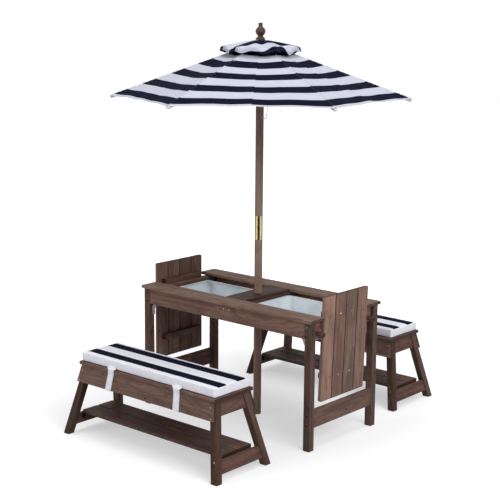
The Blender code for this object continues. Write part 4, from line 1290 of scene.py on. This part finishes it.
def make_shelf(row, offset):
    """Two long boards laid on the end rails, with an open joint between them."""
    fir, rail_heights = stained_fir("along_y", "leg"), (RAIL_BASE, RAIL_TOP)
    pieces = []
    for end, side_x in ENDS:
        name = f"bench_{row}_shelf_rail_{end}"
        pieces.append(end_board(name, side_x, rail_heights, -RAIL_INSET, offset, fir))
        inner = bench_x(RAIL_TOP) - LEDGER_SETBACK - BOARD
        x = sided(side_x, inner - LEDGER_WIDTH, inner)
        low = (x[0], offset - SHELF_HALF_WIDTH, RAIL_TOP - LEDGER_DROPS[0])
        high = (x[1], offset + SHELF_HALF_WIDTH, RAIL_TOP - LEDGER_DROPS[1])
        pieces.append(board(f"bench_{row}_shelf_ledger_{end}", low, high, stained_fir("along_y", "leg_dark")))
    half_x = bench_x(RAIL_TOP) - END_BOARD_SETBACK - SHELF_SETBACK
    for k, tone in enumerate(("leg_cool", "leg")):
        y = offset - SHELF_HALF_WIDTH + k * SHELF_PITCH
        low = (-half_x, y, RAIL_TOP + SHELF_RISES[0])
        high = (half_x, y + SHELF_BOARD_WIDTH, RAIL_TOP + SHELF_RISES[1])
        pieces.append(board(f"bench_{row}_shelf_board_{k + 1}", low, high, stained_fir("along_x", tone)))
    for item in pieces:
        stand_in(item, f"bench_{row}_body", f"bench_{row}_shelf")


def bench_fasteners(row, offset):
    places = []
    for _, side_y in ROWS:
        for _, side_x in ENDS:
            facing = (0, side_y * math.cos(BENCH_RAKE), math.sin(BENCH_RAKE))
            for z in APRON_SCREW_HEIGHTS:
                y = offset + side_y * (bench_y(z) + BOARD + 0.0001)
                places.append(("screw", (side_x * (bench_x(z) - APRON_SCREW_INSET), y, z), facing))
            for z, inset, left_kind, right_kind in BENCH_LEG_FASTENERS:
                y = offset + side_y * (bench_y(z) + 0.0001)
                kind = right_kind if side_x > 0 else left_kind
                places.append((kind, (side_x * (bench_x(z) - inset), y, z), facing))
    fasteners(f"bench_{row}_screws_and_bolts", f"bench_{row}_body", places)


STRAP_THREAD = 0.0011
STITCH_LENGTH = 0.0032
# Marks of use 17 mm across
SOIL_SCALE = 60.0


def strap_cloth():
    """Cotton webbing, folded and sewn: white, with a fine rib and a stitch row near each edge."""
    material = new_material("white_sewn_webbing", Base_Color=colour(STRAP_WHITE[0]), Roughness=0.9, Sheen_Weight=0.03)
    flat = node(material, "cut_map")
    across, _, _ = node(material, "axes", flat)
    ribs = node(material, "wave_y", flat, math.tau / (20 * STRAP_THREAD), 0.5)
    row = stepped(material, node(material, "absolute", across), ((0.0118, 0.0128),), 0.0002)
    dash = node(material, "wave_y", flat, math.tau / (20 * STITCH_LENGTH))
    stitch = node(material, "multiply", row, node(material, "range", dash, 0.25, 0.45))
    soil = node(material, "noise", flat, SOIL_SCALE, 3.0)
    soiled = node(material, "range", soil, 0.35, 0.7)
    shade = node(material, "blend", soiled, colour(STRAP_WHITE[0]), colour(STRAP_WHITE[1]))
    shade = node(material, "blend", stitch, shade, colour("b9bccb"))
    height = node(material, "subtract", ribs, node(material, "multiply", stitch, 2.0))
    feed(material, Base_Color=shade, Normal=node(material, "bump", height, 0.00015, 0.4))
    return material


def welt_cloth():
    """The cover's own white cloth, rolled and topstitched at its seams: slightly greyer in the needle holes, a painted
    shade.
    """
    material = new_material("white_rolled_seam", Base_Color=colour(CUSHION_WHITE[1]), Roughness=0.9)
    place = node(material, "place")
    holes = node(material, "noise", place, 1 / 0.0028, 1.0)
    needle_hole_shade = node(material, "range", holes, 0.5, 0.68)
    shade = node(material, "blend", needle_hole_shade, colour(CUSHION_WHITE[1]), colour("b4b7c8"))
    feed(material, Base_Color=shade, Normal=node(material, "bump", holes, 0.0004, 0.5))
    return material


MATERIALS["strap"] = strap_cloth()
MATERIALS["welt"] = welt_cloth()


STRAP_WIDTH = 0.030
STRAP_COLUMNS = 6
STRAP_STEP = 0.004
STRAP_FLARE = 0.55
STRAP_LOW = LEG_TOP - 0.066
# Number, place along the bench, and how far its lower end has slipped along it
STRAPS = ((1, -0.175, -0.007), (2, 0.169, 0.008))


def strap_path():
    """The line of a strap across the bench: from the cover's side, round the seat and apron, and underneath."""
    low_z, under = STRAP_LOW, SEAT_UNDERSIDE
    edge = 0.1005 + SEAT_OVERHANG + 0.0009
    shoulder = max(edge, bench_y(under) + BOARD + 0.0009)
    low_y = bench_y(low_z) + BOARD + 0.0011
    half = [
        (0.0940, SEAT_TOP + 0.013),
        (0.0985, SEAT_TOP + 0.007),
        (shoulder - 0.0012, SEAT_TOP + 0.0018),
        (shoulder, SEAT_TOP - 0.001),
        (shoulder + 0.0001, under + 0.001),
        (shoulder - 0.0010, under - 0.003),
        (low_y, low_z + 0.003),
        (low_y - 0.0006, low_z - 0.0006),
        (low_y - 0.004, low_z - 0.0014),
    ]
    path = half + [(0.03, low_z - 0.0020), (-0.03, low_z - 0.0020)] + [(-y, z) for y, z in reversed(half)]
    line = [Vector((0, y, z)) for y, z in path]
    fine = []
    for a, b in zip(line, line[1:]):
        steps = max(1, round((b - a).length / STRAP_STEP))
        fine += [a.lerp(b, s / steps) for s in range(steps)]
    return [*fine, line[-1]]


def make_strap(row, offset, k, x, slip):
    """A flat band sewn to both sides of the cover, drawn down over the seat and aprons and across underneath."""
    path = strap_path()
    length = path_length(path)
    points, coordinates, travelled = [], [], 0.0
    for i, p in enumerate(path):
        if i:
            travelled += (p - path[i - 1]).length
        flare = 1 + STRAP_FLARE * math.exp(-(((min(travelled, length - travelled) - 0.008) / 0.006) ** 2))
        slipped = slip * min(1, (SEAT_TOP - p.z) / 0.08) if p.z < SEAT_TOP else 0
        for c in range(STRAP_COLUMNS + 1):
            across = (c / STRAP_COLUMNS - 0.5) * STRAP_WIDTH
            points.append((x + slipped + across * flare, offset + p.y, p.z))
            coordinates.append((across, travelled))
    faces = [(a, d, c, b) for a, b, c, d in grid_faces(len(path) - 1, STRAP_COLUMNS)]
    item = mesh_object(f"bench_{row}_strap_{k}", points, faces, MATERIALS["strap"])
    mapped(item, "cut", coordinates)
    apply_modifier(item, "SOLIDIFY", thickness=0.0012, offset=0.0)
    smooth(item, 50)
    stand_in(item, f"bench_{row}_body", f"bench_{row}_cushion")


def make_seat(row):
    """The seat board, its edges eased and standing a little over the aprons."""
    low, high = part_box(f"bench_{row}_seat")
    grown = Vector((0.001, SEAT_OVERHANG, 0))
    item = board(f"bench_{row}_seat_board", low - grown, high + grown, stained_fir("along_x", "apron_cool"), 0.0018)
    stand_in(item, f"bench_{row}_body", f"bench_{row}_seat")


def make_bench(row, side):
    offset = side * BENCH_OFFSET
    make_seat(row)
    for end, side_x in ENDS:
        make_bench_end(row, offset, end, side_x)
    make_shelf(row, offset)
    bench_fasteners(row, offset)
    for k, x, slip in STRAPS:
        make_strap(row, offset, k, x, slip)


for bench_row, bench_side in ROWS:
    make_bench(bench_row, bench_side)


# Canopy and vent cap


def rib_unit(k):
    azimuth = rib_azimuth(k)
    return Vector((math.cos(azimuth), math.sin(azimuth), 0))


def canopy_height(radius):
    return PIVOT_HEIGHT + CLOTH_OVER_PIVOT - (radius - PIVOT_RADIUS) * math.tan(DROOP)


def gore_place(k, across, radius):
    """The plan point on the straight chord from rib k towards a neighbour: across runs from -0.5 to 0.5."""
    neighbour = k + (1 if across >= 0 else -1)
    return (rib_unit(k) * radius).lerp(rib_unit(neighbour) * radius, abs(across))


SEAM_LAP = 0.0011
SEAM_LAP_WIDTH = 0.0065
PUCKER = 0.0010
PUCKER_WIDTH = 0.011
PUCKER_RATE = 410
RIPPLE = 0.0015
RIPPLES_ROUND = 18


def canopy_point(k, across, share):
    """A point of the canopy's cloth, share 0 at the pole and 1 at the hem, which is cut hollow between the ribs."""
    side = 4 * abs(across) * (1 - abs(across))
    radius = HOLE_RADIUS + (RIM_RADIUS - HEM_HOLLOW * side * share**4 - HOLE_RADIUS) * share
    point = gore_place(k, across, radius)
    sag = CANOPY_SAG * math.sin(math.pi * share**0.8)
    seam = abs(across) * radius
    lap = SEAM_LAP * (1 - (seam / SEAM_LAP_WIDTH) ** 4) if seam < SEAM_LAP_WIDTH else 0.0
    pucker = PUCKER * share * math.exp(-((seam / PUCKER_WIDTH) ** 2)) * math.sin(radius * PUCKER_RATE + 2.1 * k)
    azimuth = math.atan2(point.y, point.x)
    ripple = RIPPLE * share**3 * side * math.sin(RIPPLES_ROUND * azimuth + 1.3 * k)
    point.z = canopy_height(radius) - sag * side + lap + ripple + pucker
    return point


VENT_EDGE = 0.86
VENT_HEM_OUT = 0.004
# Where each gore's fold starts, as a share of a turn, and its height
VENT_FOLDS = ((0.20, 0.0085), (1.35, 0.0095), (0.55, 0.0075), (0.9, 0.0085), (1.75, 0.0090), (0.05, 0.0080))


def turned_down_share(share):
    """How far a point of the cap is past its edge, from 0 to 1 over the part of the cloth that hangs."""
    return max(0, share / VENT_EDGE - 1) * VENT_EDGE / (1 - VENT_EDGE)


def vent_point(k, across, share):
    """A point of the cap: a slack tent with soft folds between the ribs, its rim turned down all round."""
    slope, turned_down = min(share / VENT_EDGE, 1), turned_down_share(share)
    radius = HOLE_RADIUS + (VENT_RADIUS - VENT_HEM_OUT - HOLE_RADIUS) * slope
    radius += VENT_HEM_OUT * math.sin(turned_down * math.pi / 2)
    point = gore_place(k, across, radius)
    side = 4 * abs(across) * (1 - abs(across))
    phase = across if across >= 0 else 1 + across
    start, height = VENT_FOLDS[k if across >= 0 else k - 1]
    fold = height * slope**1.3 * math.sin(math.tau * (1.5 * phase + start)) * math.sin(math.pi * phase) ** 0.8
    drop = VENT_DROP * slope**1.25 + VENT_RIM * turned_down
    point.z = VENT_TOP - drop - 0.003 * slope**2 * side + fold
    return point


def petal(name, k, surface, rows, columns, cut_map, material):
    """The cloth nearest one rib, half of the gore on each side, as a thin closed sheet with its cut's own map."""
    spread = [0.5 * math.copysign(abs(c / columns) ** 1.35, c) for c in range(-columns, columns + 1)]
    shares = [r / rows for r in range(rows + 1)]
    points = [surface(k, across, share) for share in shares for across in spread]
    wide = len(spread)
    item = mesh_object(name, points, grid_faces(rows, wide - 1), material)
    hem = [surface(k, across, 1) for across in spread]
    from_edges = []
    for i, place in enumerate(points):
        across = spread[i % wide]
        seam = (place - surface(k, 0, shares[i // wide])).length if across else 0.0
        from_edges.append((seam, (place - hem[i % wide]).length))
    mapped(item, "cut", [cut_map(k, across, share) for share in shares for across in spread])
    mapped(item, "edges", from_edges)
    apply_modifier(item, "SOLIDIFY", thickness=CLOTH, offset=0.0)
    smooth(item, 60)
    return item


CANOPY_SLANT = 1 / math.cos(DROOP)
SEAM_STEP = 0.0035
# The navy bands, as shares of the way to the rim on the canopy and in metres from the middle on the cap
CANOPY_SHARES = ((0.127, 0.222), (0.317, 0.414), (0.504, 0.590), (0.694, 0.785), (0.887, 0.975))
CANOPY_BANDS = [(low * RIM_RADIUS * CANOPY_SLANT, high * RIM_RADIUS * CANOPY_SLANT) for low, high in CANOPY_SHARES]
VENT_BANDS = [(-0.195, -0.137), (-0.078, -0.016), (0.043, 0.102), (0.160, 0.220)]
VENT_STRIPE_TURN = math.radians(62)
GORE_SHIFT = 2.0


def canopy_cut(k, across, share):
    """Metres across the gore and down it from the middle of the pole, with a small mismatch at each seam."""
    radius = HOLE_RADIUS + (RIM_RADIUS - HOLE_RADIUS) * share
    gore = k if across >= 0 else k - 1
    middle = across - 0.5 if across >= 0 else across + 0.5
    step = SEAM_STEP * (1 if across >= 0 else -0.4)
    return (middle * radius + GORE_SHIFT * (gore % RIB_COUNT), radius * CANOPY_SLANT + step)


def stripe_place(x, y):
    """A plan point along and across the cap's stripes, which all run the same way."""
    along, off = math.cos(VENT_STRIPE_TURN), math.sin(VENT_STRIPE_TURN)
    return (x * along + y * off, -x * off + y * along)


def vent_cut(k, across, share):
    """The cap is cut from one cloth and laid out flat from its middle."""
    point = vent_point(k, across, share)
    plan = Vector((point.x, point.y))
    return stripe_place(*(plan.normalized() * (1.03 * plan.length + VENT_RIM * turned_down_share(share))))


def with_cut(item, places):
    """Gives a mesh its cut's own map, far from any seam or hem."""
    mapped(item, "cut", places)
    mapped(item, "edges", [(0.05, 0.05)] * len(item.data.vertices))


def moved_to_rib(item, k):
    """Takes a piece made along +X from a rib's pivot to rib k, and lets it ride there."""
    place = rib_unit(k) * PIVOT_RADIUS + Vector((0, 0, PIVOT_HEIGHT))
    moved(item, place, (0, DROOP, rib_azimuth(k)))
    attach(item, f"rib_{k + 1}_body")


SLEEVE_START = 0.040
SLEEVE_END = RIB_LENGTH - 0.024
SLEEVE_STEPS = 40
SLEEVE_SECTION = [(-0.0059, -0.0035), (-0.0059, 0.0055), (-0.0053, 0.0062)]
SLEEVE_SECTION += [(-across, up) for across, up in reversed(SLEEVE_SECTION)]


def make_rib_sleeve(k, cloth):
    """The seam allowance folded down over a rib: it covers the rib where the canopy closes round it."""
    steps = [SLEEVE_START + (SLEEVE_END - SLEEVE_START) * s / SLEEVE_STEPS for s in range(SLEEVE_STEPS + 1)]
    points = [(along, across, up) for along in steps for across, up in SLEEVE_SECTION]
    faces = grid_faces(SLEEVE_STEPS, len(SLEEVE_SECTION) - 1)
    item = mesh_object(f"rib_sleeve_{k + 1}", points, faces, cloth)
    with_cut(item, [(across + GORE_SHIFT * k, PIVOT_RADIUS * CANOPY_SLANT + along) for along, across, _ in points])
    apply_modifier(item, "SOLIDIFY", thickness=0.0006, offset=0.0)
    smooth(item, 40)
    moved_to_rib(item, k)


COLLAR_PROFILE = ((0.0166, 1.5140), (0.0220, 1.5136), (0.0290, 1.5127), (0.0350, 1.5115), (0.0392, 1.5104))
COLLAR_STEPS = 48
COLLAR_PLEAT = 0.0006


def make_cap_collar(cloth):
    """A ring of the cap's cloth clamped under the finial, just below the cap: it shows when the parasol is closed."""
    turns = [math.tau * a / COLLAR_STEPS for a in range(COLLAR_STEPS)]
    points = [
        (r * math.cos(turn), r * math.sin(turn), z - (COLLAR_PLEAT if a % 8 else 0.0))
        for r, z in COLLAR_PROFILE
        for a, turn in enumerate(turns)
    ]
    faces = grid_faces(len(COLLAR_PROFILE) - 1, COLLAR_STEPS, closed=True)
    item = mesh_object("vent_cap_collar", points, faces, cloth)
    with_cut(item, [stripe_place(x, y) for x, y, _ in points])
    apply_modifier(item, "SOLIDIFY", thickness=0.0007, offset=0.0)
    smooth(item, 60)
    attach(item, "pole_half_upper")


def make_canopy():
    """Six panels of canopy and cap, each of which folds with its rib."""
    cloth = striped_cloth("striped_canopy_polyester", CANOPY_BANDS)
    cap_cloth = striped_cloth("striped_cap_polyester", VENT_BANDS)
    for k in range(RIB_COUNT):
        panel = petal(f"canopy_panel_{k + 1}", k, canopy_point, 64, 22, canopy_cut, cloth)
        cap = petal(f"vent_cap_panel_{k + 1}", k, vent_point, 24, 26, vent_cut, cap_cloth)
        for item, replaced in ((panel, "canopy"), (cap, "vent_cap")):
            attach(item, f"rib_{k + 1}_body")
            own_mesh(item)
            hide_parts(replaced)
        make_rib_sleeve(k, cloth)
    make_cap_collar(cap_cloth)


make_canopy()


# From the rib's pivot: both ends, half the width, and how far below and above the rib's middle
POCKET = (RIB_LENGTH - 0.026, RIB_LENGTH + 0.0022, 0.0064, 0.0050, 0.0060)


def make_rib_pockets():
    """A small sewn cup of the canopy's white cloth over each rib's tip."""
    near, far, half_width, below, above = POCKET
    pattern = board("rib_pocket_pattern", (near, -half_width, -below), (far, half_width, above), MATERIALS["welt"], 0)

    def tip(edge):
        return all(point.x > far - 0.001 for point in ends_of(pattern, edge))

    reshape(pattern, "EDGE", tip, bpy.ops.mesh.bevel, offset=0.0032, segments=4, affect="EDGES")
    reshape(pattern, "FACE", lambda f: f.normal.x < -0.9, bpy.ops.mesh.delete, type="FACE")
    apply_modifier(pattern, "SOLIDIFY", thickness=0.0007, offset=1.0)
    smooth(pattern, 40)
    for k in range(RIB_COUNT):
        moved_to_rib(copied(pattern, f"rib_pocket_{k + 1}"), k)
    bpy.data.objects.remove(pattern)


make_rib_pockets()


# Cushions


CUSHION_BAND = (0.0285, 0.0735)
BAND_END = 0.3458
BAND_START_HEIGHT = 0.0266
CUSHION_HALF_X = 0.3515
CUSHION_HALF_Y = 0.0965
CUSHION_TALL = 0.034
CUSHION_GAP = 0.0006
CUSHION_BULGE = 0.0022
PRESSURE = 4
PRESSURE_FRAMES = 20
WELT_HEIGHTS = (("lower", 0.0050), ("upper", CUSHION_TALL - 0.0030))
WELT_CORNER = 0.010
WELT_STEP = 0.006


def cushion_cloth(row, side, seat_top):
    """Cushion cover: woven polyester, navy bands along the top panel only, plain white boxing."""
    material = polyester(f"striped_{row}_cushion_polyester")
    place = node(material, "place")
    x, y, z = node(material, "axes", place)
    off = node(material, "absolute", node(material, "subtract", y, side * BENCH_OFFSET))
    band = stepped(material, off, (CUSHION_BAND,), STRIPE_BLUR)
    inside = node(material, "range", node(material, "absolute", x), BAND_END + STRIPE_BLUR, BAND_END - STRIPE_BLUR)
    base = seat_top + BAND_START_HEIGHT
    above = node(material, "range", z, base - STRIPE_BLUR, base + STRIPE_BLUR)
    stripe = node(material, "multiply", band, node(material, "multiply", inside, above))
    return woven(material, place, stripe, CUSHION_WHITE)


def make_cushion(row, side):
    """A boxed foam cushion: the sewn box is blown up slightly by the cloth solver, as foam fills its cover."""
    seat_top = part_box(f"bench_{row}_seat")[1].z
    middle = (0, side * BENCH_OFFSET, seat_top + CUSHION_GAP + CUSHION_TALL / 2)
    bpy.ops.mesh.primitive_cube_add(size=1, location=middle)
    cloth = cushion_cloth(row, side, seat_top)
    item = named(bpy.context.active_object, f"bench_{row}_cushion_cover", cloth)
    item.scale = (2 * CUSHION_HALF_X, 2 * CUSHION_HALF_Y, CUSHION_TALL)
    settle(item)
    apply_modifier(item, "BEVEL", width=0.0045, segments=3, limit_method="ANGLE")
    apply_modifier(item, "REMESH", mode="VOXEL", voxel_size=0.0042)
    blow_up(item, seat_top + CUSHION_GAP)
    apply_modifier(item, "SUBSURF", levels=1, render_levels=1)
    smooth(item, 80)
    welts = [
        welt(item, f"bench_{row}_cushion_welt_{level}", side, seat_top + height) for level, height in WELT_HEIGHTS
    ]
    for piece in (item, *welts):
        stand_in(piece, f"bench_{row}_body", f"bench_{row}_cushion")


def welt(cover, name, side, height):
    """The sewn seam round the cover's edge, a fine rolled ridge that follows the finished cushion."""
    middle = Vector((0, side * BENCH_OFFSET, height))
    tree = BVHTree.FromObject(cover, bpy.context.evaluated_depsgraph_get())
    corner = WELT_CORNER
    outline = []
    for turn, sign_x, sign_y in ((0, 1, 1), (90, -1, 1), (180, -1, -1), (270, 1, -1)):
        centre = Vector((sign_x * (CUSHION_HALF_X - corner), sign_y * (CUSHION_HALF_Y - corner), 0))
        for step in range(7):
            angle = math.radians(turn + 15 * step)
            outline.append((centre, Vector((math.cos(angle), math.sin(angle), 0))))
    path = []
    for (centre, out), (next_centre, next_out) in zip(outline, outline[1:] + outline[:1]):
        start, end = centre + out * corner, next_centre + next_out * corner
        steps = max(1, round((end - start).length / WELT_STEP))
        for share in (s / steps for s in range(steps)):
            place = start.lerp(end, share)
            away = out.lerp(next_out, share).normalized()
            hit = tree.ray_cast(middle + place + away * 0.03, -away)[0]
            path.append(hit if hit is not None else middle + place)
    return tube(name, path, 0.0009, MATERIALS["welt"], closed=True, resolution=2)


def blow_up(item, floor):
    """Blows the cover up by a gentle pressure, no further than foam would push it and never through the seat."""
    rest = np.array([v.co for v in item.data.vertices])
    activate(item)
    cloth = item.modifiers.new("cloth", "CLOTH")
    cloth.settings.use_pressure = True
    cloth.settings.uniform_pressure_force = PRESSURE
    cloth.settings.effector_weights.gravity = 0
    scene = bpy.context.scene
    for step in range(1, PRESSURE_FRAMES + 1):
        scene.frame_set(step)
    graph = bpy.context.evaluated_depsgraph_get()
    pushed = np.array([v.co for v in item.evaluated_get(graph).data.vertices])
    item.modifiers.remove(cloth)
    scene.frame_set(1)
    shift = pushed - rest
    length = np.linalg.norm(shift, axis=1, keepdims=True)
    shift *= np.minimum(1, CUSHION_BULGE / np.maximum(length, 1e-9))
    places = rest + shift
    places[:, 2] = np.maximum(places[:, 2], floor)
    item.data.vertices.foreach_set("co", places.astype(np.float32).ravel())
    item.data.update()


for bench_row, bench_side in ROWS:
    make_cushion(bench_row, bench_side)

for pattern in PATTERNS.values():
    bpy.data.objects.remove(pattern)
